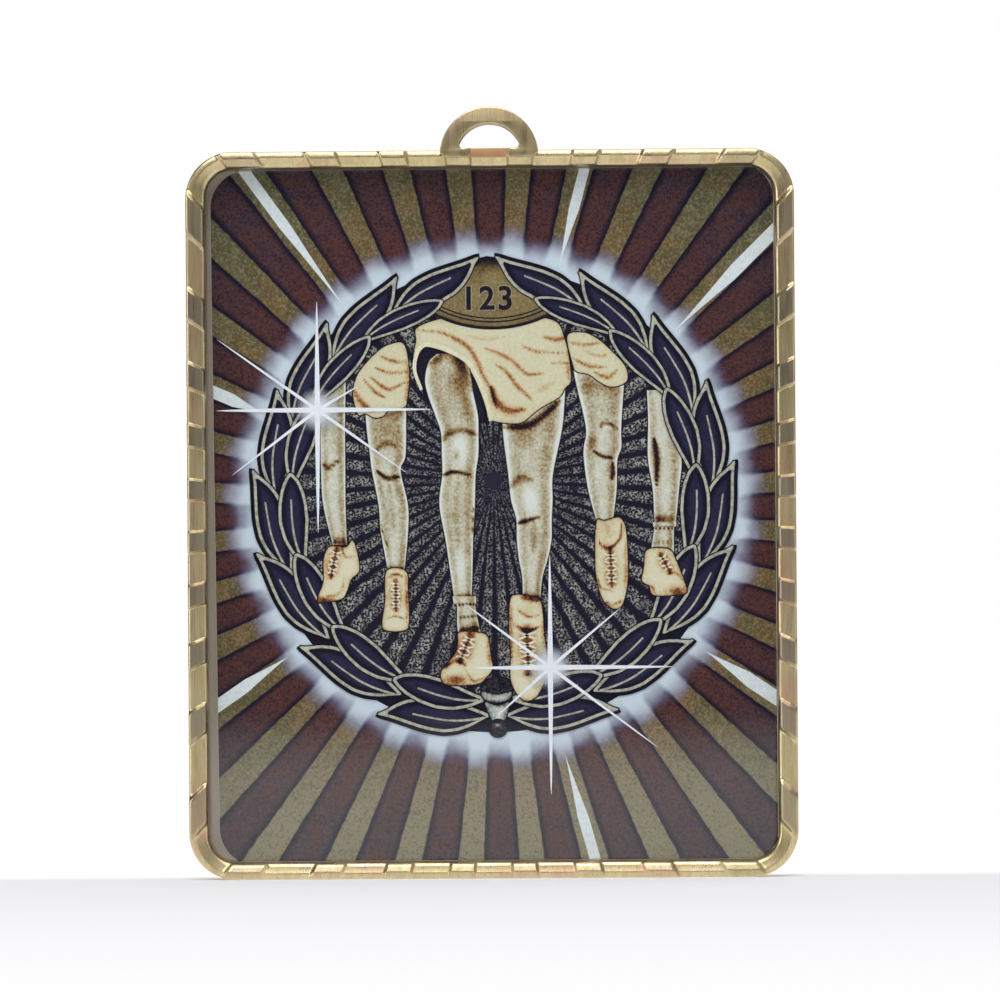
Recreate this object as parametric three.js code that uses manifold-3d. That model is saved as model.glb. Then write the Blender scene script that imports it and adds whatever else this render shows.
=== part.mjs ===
// A sports finisher's medal: a die-cast plaque with its hanging loop cast on, holding a printed
// picture behind a tile of clear acrylic.
//
// Millimetres, +Z up. The medal stands on its bottom edge with its face towards -Y, and the origin
// is the middle of that edge. Each piece is shaped as if the medal lay on its back: x to the right,
// y up the face, z from the back border (0) out of the face. The group at the end stands it up.

import * as THREE from "three";
import { mergeVertices } from "three/addons/utils/BufferGeometryUtils.js";
import Module from "manifold-3d";

const wasm = await Module();
wasm.setup();

// The plaque, from its back border to the low stretches of its rim.
const plaque = { width: 59.2, height: 70.8, cornerRadius: 4.5, thickness: 4.6, edgeBreak: 0.25 };

// The rim round the window, a little wider at the sides than at the ends, and the chamfer that leads
// down into the window.
const rim = { sideWidth: 1.8, endWidth: 1.55, chamferWidth: 0.9, chamferDepth: 0.6 };

// Raised blocks stand on the rim along rays from the middle of the plaque, one every ten degrees.
// Their sides are radial, and they cover all but a narrow strip of the chamfer.
const rays = { count: 36, blockDegrees: 4, rise: 0.3, chamferWidth: 0.2, innerReach: 20, outerReach: 60 };

// The back is a shallow flat field inside a border.
const back = { border: 3.6, depth: 0.35, cornerRadius: 2 };

// The hanging loop: a flat ring round a point a little below the plaque's top edge. Its D-shaped
// eye has a flat floor on a low web, and its front is level with the raised blocks.
const loop = {
  outerRadius: 4.8,
  innerRadius: 3.18,
  centreDrop: 0.57,
  rootDepth: 0.4,
  thickness: 2.6,
  webRise: 0.2,
  eyeFillet: 0.4,
  edgeBreak: 0.15,
};

// The stack in the window: its floor, then an adhesive pad, the printed insert and the acrylic tile.
// The insert lies a little to the right in the window and slightly turned, and is trimmed to fit it.
const windowFloor = 1.4;
const pad = { thickness: 0.3, inset: 1.2, cornerRadius: 2 };
const insert = {
  width: 55.2,
  height: 68.2,
  thickness: 0.3,
  cornerRadius: 3.8,
  shift: 0.45,
  turnDegrees: 0.5,
  trimGap: 0.05,
};
const tile = { thickness: 2, sideGap: 0.2, edgeBreak: 0.12 };

const cornerSteps = 12; // straight steps in each quarter of a round corner
const overcut = 2; // how far a cutter runs past the face it cuts

const faceTop = plaque.thickness + rays.rise;
const topEdge = plaque.height / 2;
const window = {
  width: plaque.width - 2 * rim.sideWidth,
  height: plaque.height - 2 * rim.endWidth,
  cornerRadius: plaque.cornerRadius - rim.sideWidth,
};

function roundedRectangle(width, height, radius) {
  const x = width / 2 - radius;
  const y = height / 2 - radius;
  const quarter = Math.PI / 2;
  return new THREE.Shape()
    .absarc(x, y, radius, 0, quarter)
    .absarc(-x, y, radius, quarter, 2 * quarter)
    .absarc(-x, -y, radius, 2 * quarter, 3 * quarter)
    .absarc(x, -y, radius, 3 * quarter, 4 * quarter);
}

// A plate of the outline's full size between two heights, with its edges broken at 45 degrees.
function plate(outline, bottom, top, edgeBreak = 0) {
  const geometry = new THREE.ExtrudeGeometry(outline, {
    depth: top - bottom - 2 * edgeBreak,
    curveSegments: cornerSteps,
    bevelEnabled: edgeBreak > 0,
    bevelThickness: edgeBreak,
    bevelSize: edgeBreak,
    bevelOffset: -edgeBreak,
    bevelSegments: 1,
  });
  return geometry.translate(0, 0, bottom + edgeBreak);
}

// A cutter that opens out from the window's outline by spread, on the way up to a height.
function flaredCutter(spread, depth, top) {
  const outline = roundedRectangle(window.width, window.height, window.cornerRadius);
  const geometry = new THREE.ExtrudeGeometry(outline, {
    depth: overcut,
    curveSegments: cornerSteps,
    bevelThickness: depth,
    bevelSize: spread,
    bevelSegments: 1,
  });
  return geometry.translate(0, 0, top);
}

// A closed geometry as a solid that can be joined and cut.
function solid(geometry) {
  const bare = geometry.clone();
  bare.deleteAttribute("normal");
  bare.deleteAttribute("uv");
  const merged = mergeVertices(bare, 1e-4);
  return new wasm.Manifold(
    new wasm.Mesh({
      numProp: 3,
      vertProperties: merged.attributes.position.array,
      triVerts: new Uint32Array(merged.index.array),
    }),
  );
}

function geometryOf(manifold) {
  const mesh = manifold.getMesh();
  const shared = new THREE.BufferGeometry();
  shared.setAttribute("position", new THREE.BufferAttribute(mesh.vertProperties, 3));
  shared.setIndex(new THREE.BufferAttribute(mesh.triVerts, 1));
  const faceted = shared.toNonIndexed();
  faceted.computeVertexNormals();
  return faceted;
}

function piece(name, geometry, material) {
  const mesh = new THREE.Mesh(geometry, new THREE.MeshStandardMaterial(material));
  mesh.name = name;
  return mesh;
}

// The plaque up to a height, with the window cut down to its floor and its rim chamfered.
function windowedPlaque(top, chamferWidth) {
  const outline = roundedRectangle(plaque.width, plaque.height, plaque.cornerRadius);
  const opening = roundedRectangle(window.width, window.height, window.cornerRadius);
  return solid(plate(outline, 0, top, plaque.edgeBreak))
    .subtract(solid(plate(opening, windowFloor, top + overcut)))
    .subtract(solid(flaredCutter(chamferWidth, rim.chamferDepth, top)));
}

// One raised block's stretch of the rim, as a wedge between two radial planes.
function rayWedge(middle) {
  const half = THREE.MathUtils.degToRad(rays.blockDegrees / 2);
  const corner = (radius, angle) =>
    new THREE.Vector2(radius * Math.cos(angle), radius * Math.sin(angle));
  const outline = new THREE.Shape([
    corner(rays.innerReach, middle - half),
    corner(rays.outerReach, middle - half),
    corner(rays.outerReach, middle + half),
    corner(rays.innerReach, middle + half),
  ]);
  return solid(plate(outline, windowFloor + rim.chamferDepth, faceTop + overcut));
}

function raisedBlocks() {
  const step = (2 * Math.PI) / rays.count;
  let wedges = rayWedge(step / 2);
  for (let i = 1; i < rays.count; i++) wedges = wedges.add(rayWedge((i + 0.5) * step));
  return windowedPlaque(faceTop, rays.chamferWidth).intersect(wedges);
}

// The loop's eye: an arc over a flat floor, with the two lower corners rounded.
function eyeOutline(centre) {
  const { innerRadius, eyeFillet } = loop;
  const floor = topEdge + loop.webRise;
  const filletY = floor + eyeFillet;
  const filletX = Math.sqrt((innerRadius - eyeFillet) ** 2 - (filletY - centre) ** 2);
  const meet = Math.atan2(filletY - centre, filletX);
  return new THREE.Path()
    .moveTo(-filletX, floor)
    .absarc(filletX, filletY, eyeFillet, -Math.PI / 2, meet)
    .absarc(0, centre, innerRadius, meet, Math.PI - meet)
    .absarc(-filletX, filletY, eyeFillet, Math.PI - meet, 1.5 * Math.PI);
}

function hangingLoop() {
  const centre = topEdge - loop.centreDrop;
  const root = Math.asin((loop.centreDrop - loop.rootDepth) / loop.outerRadius);
  const outline = new THREE.Shape().absarc(0, centre, loop.outerRadius, root, Math.PI - root);
  outline.holes.push(eyeOutline(centre));
  const ring = solid(plate(outline, faceTop - loop.thickness, faceTop, loop.edgeBreak));

  // Between the loop's two feet the web stays as low as the rim.
  const halfGap = topEdge * Math.tan(Math.PI / rays.count - THREE.MathUtils.degToRad(rays.blockDegrees / 2));
  const gap = new THREE.BoxGeometry(2 * halfGap, 2 * overcut, 2 * overcut);
  gap.translate(0, topEdge + loop.webRise - overcut + loop.edgeBreak, plaque.thickness + overcut);
  return ring.subtract(solid(gap));
}

function backField() {
  const outline = roundedRectangle(
    plaque.width - 2 * back.border,
    plaque.height - 2 * back.border,
    back.cornerRadius,
  );
  return solid(plate(outline, -overcut, back.depth));
}

function castFrame() {
  const casting = windowedPlaque(plaque.thickness, rim.chamferWidth)
    .add(raisedBlocks())
    .add(hangingLoop())
    .subtract(backField());
  return piece("cast_frame", geometryOf(casting), { color: 0xb59d73, metalness: 1, roughness: 0.35 });
}

function adhesivePad() {
  const outline = roundedRectangle(
    window.width - 2 * pad.inset,
    window.height - 2 * pad.inset,
    pad.cornerRadius,
  );
  const geometry = plate(outline, windowFloor, windowFloor + pad.thickness);
  return piece("adhesive_pad", geometry, { color: 0xd9d6cc, metalness: 0, roughness: 0.9 });
}

function printedInsert() {
  const outline = roundedRectangle(insert.width, insert.height, insert.cornerRadius);
  const bottom = windowFloor + pad.thickness;
  const top = bottom + insert.thickness;
  const sheet = plate(outline, bottom, top);
  sheet.rotateZ(THREE.MathUtils.degToRad(insert.turnDegrees));
  sheet.translate(insert.shift, 0, 0);
  const room = roundedRectangle(
    window.width - 2 * insert.trimGap,
    window.height - 2 * insert.trimGap,
    window.cornerRadius - insert.trimGap,
  );
  const trimmed = solid(sheet).intersect(solid(plate(room, bottom - overcut, top + overcut)));
  const material = { color: 0x4a3a38, metalness: 0, roughness: 0.5 };
  return piece("printed_insert", geometryOf(trimmed), material);
}

function acrylicTile() {
  const outline = roundedRectangle(
    window.width - 2 * tile.sideGap,
    window.height - 2 * tile.sideGap,
    window.cornerRadius - tile.sideGap,
  );
  const bottom = windowFloor + pad.thickness + insert.thickness;
  const geometry = plate(outline, bottom, bottom + tile.thickness, tile.edgeBreak);
  const material = { color: 0xf4f8f8, metalness: 0, roughness: 0.05, transparent: true, opacity: 0.2 };
  return piece("acrylic_tile", geometry, material);
}

const medal = new THREE.Group();
medal.add(castFrame(), adhesivePad(), printedInsert(), acrylicTile());
medal.rotation.x = Math.PI / 2;
medal.position.set(0, faceTop / 2, topEdge);

const part = new THREE.Group();
part.add(medal);

export default part;
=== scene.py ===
import math

import bmesh
import bpy
import numpy as np
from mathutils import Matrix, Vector


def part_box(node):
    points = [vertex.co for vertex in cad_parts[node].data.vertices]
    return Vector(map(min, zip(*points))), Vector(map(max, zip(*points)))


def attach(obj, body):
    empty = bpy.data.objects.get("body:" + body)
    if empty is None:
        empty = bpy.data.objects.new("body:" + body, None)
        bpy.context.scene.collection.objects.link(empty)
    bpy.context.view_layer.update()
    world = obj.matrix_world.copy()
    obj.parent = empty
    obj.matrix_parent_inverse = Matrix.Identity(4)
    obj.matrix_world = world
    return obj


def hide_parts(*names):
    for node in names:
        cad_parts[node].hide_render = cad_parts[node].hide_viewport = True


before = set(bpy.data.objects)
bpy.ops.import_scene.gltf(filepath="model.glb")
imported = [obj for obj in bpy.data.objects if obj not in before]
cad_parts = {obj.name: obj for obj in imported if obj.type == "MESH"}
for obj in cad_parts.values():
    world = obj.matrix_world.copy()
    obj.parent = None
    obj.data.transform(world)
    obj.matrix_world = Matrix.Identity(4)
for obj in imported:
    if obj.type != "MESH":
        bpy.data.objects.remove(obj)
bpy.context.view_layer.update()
print("frame loaded")

mm = 0.001
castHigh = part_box("cast_frame")[1]
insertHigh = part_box("printed_insert")[1]

# Every piece is drawn as if the medal lay on its back, in millimetres: x to the right, y up the face
# from the middle of the plaque, z from the back border out of the face. stand() puts it upright.
plaque = {"width": 59.2, "height": 70.8, "corner": 4.5, "low": 4.6, "high": 4.9, "windowFloor": 1.4}
insertBack = (castHigh.y - insertHigh.y) / mm


def stand(points):
    p = np.asarray(points, float).reshape(-1, 3) * mm
    return np.stack([p[:, 0], castHigh.y - p[:, 2], p[:, 1] + plaque["height"] / 2 * mm], 1)


# colours and nodes

def ink(hexColour):  # an sRGB colour as the linear one that shaders take
    parts = [int(hexColour[i:i + 2], 16) / 255 for i in (1, 3, 5)]
    return (*[c / 12.92 if c <= 0.04045 else ((c + 0.055) / 1.055) ** 2.4 for c in parts], 1.0)


mathNode, rangeNode, mixNode = "ShaderNodeMath", "ShaderNodeMapRange", "ShaderNodeMix"
attributeNode, rampNode = "ShaderNodeAttribute", "ShaderNodeValToRGB"


def addNode(tree, kind, inputs=None, stops=(), **settings):  # a node given as an input is its first output
    node = tree.nodes.new(kind)
    for name, value in settings.items():
        setattr(node, name, value)
    for place, _ in stops[2:]:
        node.color_ramp.elements.new(place)
    for i, (place, colour) in enumerate(stops):
        node.color_ramp.elements[i].position = place
        node.color_ramp.elements[i].color = ink(colour)
    for name, value in (inputs or {}).items():
        if isinstance(value, bpy.types.Node):
            value = value.outputs[0]
        if isinstance(value, bpy.types.NodeSocket):
            tree.links.new(value, node.inputs[name])
        else:
            node.inputs[name].default_value = value
    return node


def newMaterial(name):
    material = bpy.data.materials.new(name)
    material.use_nodes = True
    tree = material.node_tree
    tree.nodes.clear()
    output = addNode(tree, "ShaderNodeOutputMaterial")
    return material, tree, output


def printedFinish(tree, output, colour, alpha=None):  # ink on plastic sheet: matt, hardly any shine
    inputs = {"Base Color": colour, "Roughness": 0.6, "Specular IOR Level": 0.04}
    if alpha is not None:
        inputs["Alpha"] = alpha
    shader = addNode(tree, "ShaderNodeBsdfPrincipled", inputs)
    tree.links.new(shader.outputs[0], output.inputs["Surface"])


def overlaid(tree, under, over, pattern, low, high, shareLow=0.0, shareHigh=1.0):
    # one colour over another, with a share that follows a pattern between two of its values
    share = addNode(tree, rangeNode, {
        "Value": pattern, "From Min": low, "From Max": high, "To Min": shareLow, "To Max": shareHigh},
        interpolation_type="SMOOTHSTEP")
    return addNode(tree, mixNode, {0: share, 6: under, 7: over}, data_type="RGBA").outputs[2]


def grain(tree, sizeMm, detail=3.0, stretch=(1, 1, 1)):  # noise with blotches of a real size
    coords = addNode(tree, "ShaderNodeTexCoord").outputs["Object"]
    scaled = addNode(tree, "ShaderNodeMapping", {"Vector": coords, "Scale": stretch})
    return addNode(tree, "ShaderNodeTexNoise", {
        "Vector": scaled.outputs[0], "Scale": 1 / (sizeMm * mm), "Detail": detail}).outputs["Fac"]


def faceCoords(tree, x, y):  # distances right and up the face from a point given in millimetres
    coords = addNode(tree, "ShaderNodeTexCoord").outputs["Object"]
    split = addNode(tree, "ShaderNodeSeparateXYZ", {0: coords}).outputs
    height = (y + plaque["height"] / 2) * mm
    right = addNode(tree, mathNode, {0: split["X"], 1: x * mm}, operation="SUBTRACT")
    up = addNode(tree, mathNode, {0: split["Z"], 1: height}, operation="SUBTRACT")
    return right, up


def polar(tree, x, y):  # angle in turns from straight up, and distance in millimetres
    right, up = faceCoords(tree, x, y)
    angle = addNode(tree, mathNode, {0: right, 1: up}, operation="ARCTAN2")
    turns = addNode(tree, mathNode, {0: angle, 1: 2 * math.pi}, operation="DIVIDE")
    across = addNode(tree, mathNode, {0: right, 1: right}, operation="MULTIPLY")
    along = addNode(tree, mathNode, {0: up, 1: up}, operation="MULTIPLY")
    squares = addNode(tree, mathNode, {0: across, 1: along}, operation="ADD")
    metres = addNode(tree, mathNode, {0: squares}, operation="SQRT")
    return turns, addNode(tree, mathNode, {0: metres, 1: mm}, operation="DIVIDE")


# distance from the middle of the nearest of evenly turned bands
def bands(tree, turns, count, start, wobble):
    along = addNode(tree, mathNode, {0: turns, 1: count}, operation="MULTIPLY")
    shifted = addNode(tree, mathNode, {0: along, 1: start}, operation="ADD")
    share = addNode(tree, mathNode, {0: shifted}, operation="FRACT")
    offset = addNode(tree, mathNode, {0: share, 1: 0.5}, operation="SUBTRACT")
    away = addNode(tree, mathNode, {0: offset}, operation="ABSOLUTE")
    return addNode(tree, mathNode, {0: away, 1: wobble}, operation="ADD")


def centred(tree, pattern, strength):  # a pattern about one half, turned to one about nothing
    offset = addNode(tree, mathNode, {0: pattern, 1: 0.5}, operation="SUBTRACT")
    return addNode(tree, mathNode, {0: offset, 1: strength}, operation="MULTIPLY")


# materials

rayCentre = (0.3, 0.25)
wreathCentre = (0.2, 1.4)
fieldCentre = (0.2, 3.3)


def antiqueGoldPlate():
    # Zinc casting, plated, darkened and brushed upright: champagne gold with fine upright scratches,
    # greyer on the raised blocks at the sides, grey-brown where the brush didn't reach (low above 0) and
    # coppery where the plating wore through (low below 0).
    material, tree, output = newMaterial("antique gold plated zinc, brushed upright")
    scratches = grain(tree, 0.09, 3, (1, 1, 0.035))
    broad = grain(tree, 0.8, 3, (1, 1, 0.12))
    low = addNode(tree, attributeNode, attribute_name="low").outputs["Fac"]
    raised = addNode(tree, attributeNode, attribute_name="tone").outputs["Fac"]
    gold = addNode(tree, rampNode, {"Fac": grain(tree, 5, 4)},
                   stops=[(0.3, "#d0c08f"), (0.5, "#dccb9f"), (0.7, "#d8b996")])
    streaked = overlaid(tree, gold, ink("#bfa97c"), broad, 0.4, 0.75, 0, 0.5)
    scratched = overlaid(tree, streaked, ink("#a38f6b"), scratches, 0.48, 0.75, 0, 0.6)
    grey = addNode(tree, mathNode, {0: raised, 1: 0.75}, operation="MULTIPLY")
    greyed = addNode(tree, mixNode, {0: grey, 6: scratched, 7: ink("#958b7c")}, data_type="RGBA").outputs[2]
    age = addNode(tree, mathNode, {0: low, 1: 0.0}, operation="MAXIMUM")
    aged = addNode(tree, mixNode, {0: age, 6: greyed, 7: ink("#c9bcae")}, data_type="RGBA").outputs[2]
    high = addNode(tree, mathNode, {0: low, 1: -1.0}, operation="MULTIPLY")
    wear = addNode(tree, mathNode, {0: high, 1: 0.0}, operation="MAXIMUM")
    worn = addNode(tree, mixNode, {0: wear, 6: aged, 7: ink("#d39a72")}, data_type="RGBA").outputs[2]
    brushed = addNode(tree, rangeNode, {
        "Value": broad, "From Min": 0.3, "From Max": 0.7, "To Min": 0.25, "To Max": 0.37},
        interpolation_type="SMOOTHSTEP")
    unbrushed = addNode(tree, mathNode, {0: low}, operation="ABSOLUTE")
    matter = addNode(tree, mathNode, {0: unbrushed, 1: 0.25}, operation="MULTIPLY")
    roughness = addNode(tree, mathNode, {0: brushed, 1: matter}, operation="ADD", use_clamp=True)
    bump = addNode(tree, "ShaderNodeBump", {"Strength": 0.3, "Distance": 0.02 * mm, "Height": scratches})
    shader = addNode(tree, "ShaderNodeBsdfPrincipled", {
        "Base Color": worn, "Metallic": 1.0, "Roughness": roughness, "Normal": bump.outputs[0]})
    tree.links.new(shader.outputs[0], output.inputs["Surface"])
    return material


def clearAcrylic():
    # Cast acrylic sheet: clear, with a mirror gloss of four parts in a hundred that grows at a slant.
    material, tree, output = newMaterial("clear cast acrylic")
    through = addNode(tree, "ShaderNodeBsdfTransparent", {"Color": ink("#fdfefe")})
    gloss = addNode(tree, "ShaderNodeBsdfGlossy", {"Roughness": 0.0})
    slant = addNode(tree, "ShaderNodeLayerWeight", {"Blend": 0.5}).outputs["Facing"]
    steep = addNode(tree, mathNode, {0: slant, 1: 5.0}, operation="POWER")
    growing = addNode(tree, mathNode, {0: steep, 1: 0.96}, operation="MULTIPLY")
    share = addNode(tree, mathNode, {0: growing, 1: 0.04}, operation="ADD")
    both = addNode(tree, "ShaderNodeMixShader", {0: share, 1: through.outputs[0], 2: gloss.outputs[0]})
    tree.links.new(both.outputs[0], output.inputs["Surface"])
    return material


def foamTape():
    # Off-white foam tape: matt with open cells.
    material, tree, output = newMaterial("white foam tape")
    cells = grain(tree, 0.3, 4)
    colour = addNode(tree, rampNode, {"Fac": cells}, stops=[(0.3, "#cfccc2"), (0.7, "#e2e0d8")])
    bump = addNode(tree, "ShaderNodeBump", {"Strength": 0.4, "Distance": 0.05 * mm, "Height": cells})
    shader = addNode(tree, "ShaderNodeBsdfPrincipled", {
        "Base Color": colour, "Roughness": 0.9, "Normal": bump.outputs[0]})
    tree.links.new(shader.outputs[0], output.inputs["Surface"])
    return material


def sunburstPrint():
    # Full-colour print: olive and maroon rays ten degrees apart, mottled like old leather, fading into
    # a cold white glow round the wreath.
    material, tree, output = newMaterial("printed sunburst")
    turns, distance = polar(tree, *rayCentre)
    fromOlive = bands(tree, turns, 36.0, 36.07, centred(tree, grain(tree, 1.0, 3), 0.04))
    nearGlow = addNode(tree, rangeNode, {
        "Value": distance, "From Min": 25, "From Max": 38, "To Min": 1, "To Max": 0},
        interpolation_type="SMOOTHSTEP")
    blotches = grain(tree, 2.0, 4)
    redder = grain(tree, 1.4, 3, (1, 1, 1.2))
    specks = grain(tree, 0.24, 4)
    _, height = faceCoords(tree, 0, 0)

    olives = {0: nearGlow, 6: ink("#6d694f"), 7: ink("#7f6440")}
    olive = addNode(tree, mixNode, olives, data_type="RGBA").outputs[2]
    olive = overlaid(tree, olive, ink("#57553c"), blotches, 0.4, 0.62, 0, 0.6)
    olive = overlaid(tree, olive, ink("#7a5c38"), redder, 0.5, 0.7, 0, 0.5)
    # painted reflection: the olive rays turn paler towards the bottom of the print, a painted haze of the
    # white table mirrored in the acrylic, added to the acrylic's own gloss
    olive = overlaid(tree, olive, ink("#a39a80"), height, -16 * mm, -33 * mm, 0, 0.6)
    olive = overlaid(tree, olive, ink("#9c9574"), specks, 0.5, 0.66, 0, 0.5)
    olive = overlaid(tree, olive, ink("#3f3b2a"), specks, 0.47, 0.34, 0, 0.45)
    maroons = {0: nearGlow, 6: ink("#45363f"), 7: ink("#553433")}
    maroon = addNode(tree, mixNode, maroons, data_type="RGBA").outputs[2]
    maroon = overlaid(tree, maroon, ink("#5a3630"), redder, 0.45, 0.65, 0, 0.65)
    maroon = overlaid(tree, maroon, ink("#6b4a44"), specks, 0.5, 0.66, 0, 0.4)
    maroon = overlaid(tree, maroon, ink("#1f1826"), specks, 0.48, 0.36, 0, 0.6)
    maroon = overlaid(tree, maroon, ink("#15142c"), fromOlive, 0.22, 0.34, 0.95, 0)
    rays = overlaid(tree, olive, maroon, fromOlive, 0.19, 0.22)

    _, fromWreath = polar(tree, *wreathCentre)
    ragged = centred(tree, blotches, 1.5)
    veil = addNode(tree, mathNode, {0: fromWreath, 1: ragged}, operation="ADD")
    furtherOnOlive = addNode(tree, rangeNode, {
        "Value": fromOlive, "From Min": 0.15, "From Max": 0.3, "To Min": -0.5, "To Max": 0.5},
        interpolation_type="SMOOTHSTEP")
    veil = addNode(tree, mathNode, {0: veil, 1: furtherOnOlive}, operation="ADD")
    bluish = overlaid(tree, rays, ink("#74749c"), veil, 24.9, 26.7, 0.6, 0)
    glow = overlaid(tree, bluish, ink("#d6e2ec"), veil, 23.6, 26.1, 1, 0)
    printedFinish(tree, output, glow)
    return material


def fieldPrint():
    # The dark field behind the runners: radial bands of pale specks on navy, like a struck metal ground.
    material, tree, output = newMaterial("printed dark field")
    turns, distance = polar(tree, *fieldCentre)
    fromMiddle = bands(tree, turns, 54.0, 54.0, centred(tree, grain(tree, 0.7, 2), 0.25))
    inStripe = addNode(tree, rangeNode, {
        "Value": fromMiddle, "From Min": 0.24, "From Max": 0.38, "To Min": 1, "To Max": 0},
        interpolation_type="SMOOTHSTEP")
    bright = addNode(tree, rangeNode, {"Value": grain(tree, 0.2, 3), "From Min": 0.46, "From Max": 0.58},
                     interpolation_type="SMOOTHSTEP")
    lit = addNode(tree, mathNode, {0: inStripe, 1: bright}, operation="MULTIPLY")
    outwards = addNode(tree, rangeNode, {
        "Value": distance, "From Min": 1.5, "From Max": 17, "To Min": 0.4, "To Max": 0.95},
        interpolation_type="SMOOTHSTEP")
    speck = overlaid(tree, ink("#85827d"), ink("#bdbbb2"), grain(tree, 0.8, 3), 0.4, 0.65)
    share = addNode(tree, mathNode, {0: lit, 1: outwards}, operation="MULTIPLY")
    colour = addNode(tree, mixNode, {0: share, 6: ink("#211d2f"), 7: speck}, data_type="RGBA").outputs[2]
    colour = overlaid(tree, colour, ink("#1a1730"), grain(tree, 2.2, 3), 0.5, 0.7, 0, 0.4)
    boss = overlaid(tree, colour, ink("#2f2a3c"), distance, 0.75, 0.95, 1, 0)
    printedFinish(tree, output, boss)
    return material


def figurePrint(name, stops):
    # Shaded drawing: the tone painted on the mesh, broken up by specks, with a dark line at the edge.
    material, tree, output = newMaterial(name)
    specks, patches = centred(tree, grain(tree, 0.28, 3), 0.8), centred(tree, grain(tree, 1.1, 3), 0.4)
    rough = addNode(tree, mathNode, {0: specks, 1: patches}, operation="ADD")
    tone = addNode(tree, attributeNode, attribute_name="tone").outputs["Fac"]
    inShade = addNode(tree, rangeNode, {
        "Value": tone, "From Min": 0.0, "From Max": 0.4, "To Min": 0.35, "To Max": 1},
        interpolation_type="SMOOTHSTEP")
    reach = addNode(tree, mathNode, {0: rough, 1: inShade}, operation="MULTIPLY")
    broken = addNode(tree, mathNode, {0: tone, 1: reach}, operation="ADD")
    colour = addNode(tree, rampNode, {"Fac": broken}, stops=stops)
    edge = addNode(tree, attributeNode, attribute_name="edge").outputs["Fac"]
    printedFinish(tree, output, overlaid(tree, colour, ink("#1d1826"), edge, 0.08, 0.16, 1, 0))
    return material


# shades of the drawing, from its lights to its darks
skinStops = [(0.0, "#e9ebe4"), (0.2, "#d2cfba"), (0.42, "#b3a483"), (0.6, "#95744a"), (0.8, "#583c2c"),
             (1.0, "#211924")]
clothStops = [(0.0, "#e6e1c6"), (0.2, "#d8cda6"), (0.4, "#cba77b"), (0.6, "#a66c3f"), (0.8, "#663c2a"),
              (1.0, "#241a22")]
plateStops = [(0.0, "#b5a375"), (0.3, "#8f7d55"), (0.55, "#6b5a3b"), (0.8, "#3c3128"), (1.0, "#1b1726")]
knotStops = [(0.0, "#dfe3da"), (0.35, "#a9aaa4"), (0.6, "#55535c"), (1.0, "#17161f")]


def plainInk(name, colour, darker):
    # A solid printed ink, slightly uneven where the dots of the print vary.
    material, tree, output = newMaterial(name)
    uneven = overlaid(tree, ink(colour), ink(darker), grain(tree, 0.35, 3), 0.4, 0.7)
    printedFinish(tree, output, uneven)
    return material


def leafPrint():
    # A laurel leaf: near-black contour, stone-grey line inside it, navy blade and a thin grey vein.
    material, tree, output = newMaterial("printed laurel leaf")
    edge = addNode(tree, attributeNode, attribute_name="edge").outputs["Fac"]
    fromVein = addNode(tree, attributeNode, attribute_name="vein").outputs["Fac"]
    blade = overlaid(tree, ink("#16172a"), ink("#2f2c48"), edge, 0.5, 1.0)
    blade = overlaid(tree, blade, ink("#1f1e36"), grain(tree, 0.4, 3), 0.42, 0.7, 0, 0.6)
    stone = overlaid(tree, ink("#c6c3b2"), ink("#a19d92"), grain(tree, 0.35, 3), 0.4, 0.65)
    veined = overlaid(tree, blade, stone, fromVein, 0.07, 0.11, 1, 0)
    lined = overlaid(tree, veined, stone, edge, 0.26, 0.30, 1, 0)
    contoured = overlaid(tree, lined, ink("#121420"), edge, -0.02, 0.02, 1, 0)
    printedFinish(tree, output, contoured)
    return material


def sparkleHalo():
    # White ink that thins out from the middle of a sparkle.
    material, tree, output = newMaterial("printed sparkle halo")
    edge = addNode(tree, attributeNode, attribute_name="edge").outputs["Fac"]
    strength = addNode(tree, rangeNode, {"Value": edge, "From Min": 0.0, "From Max": 2.3},
                       interpolation_type="SMOOTHSTEP")
    thinning = addNode(tree, mathNode, {0: strength, 1: 1.6}, operation="POWER")
    alpha = addNode(tree, mathNode, {0: thinning, 1: 0.95}, operation="MULTIPLY")
    printedFinish(tree, output, ink("#eef0fa"), alpha)
    return material


# drawing tools: thin closed slabs of ink gathered into one mesh. Each point has a tone and its
# distances from the outline and from a leaf's vein.

inkThickness = 0.008


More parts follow.
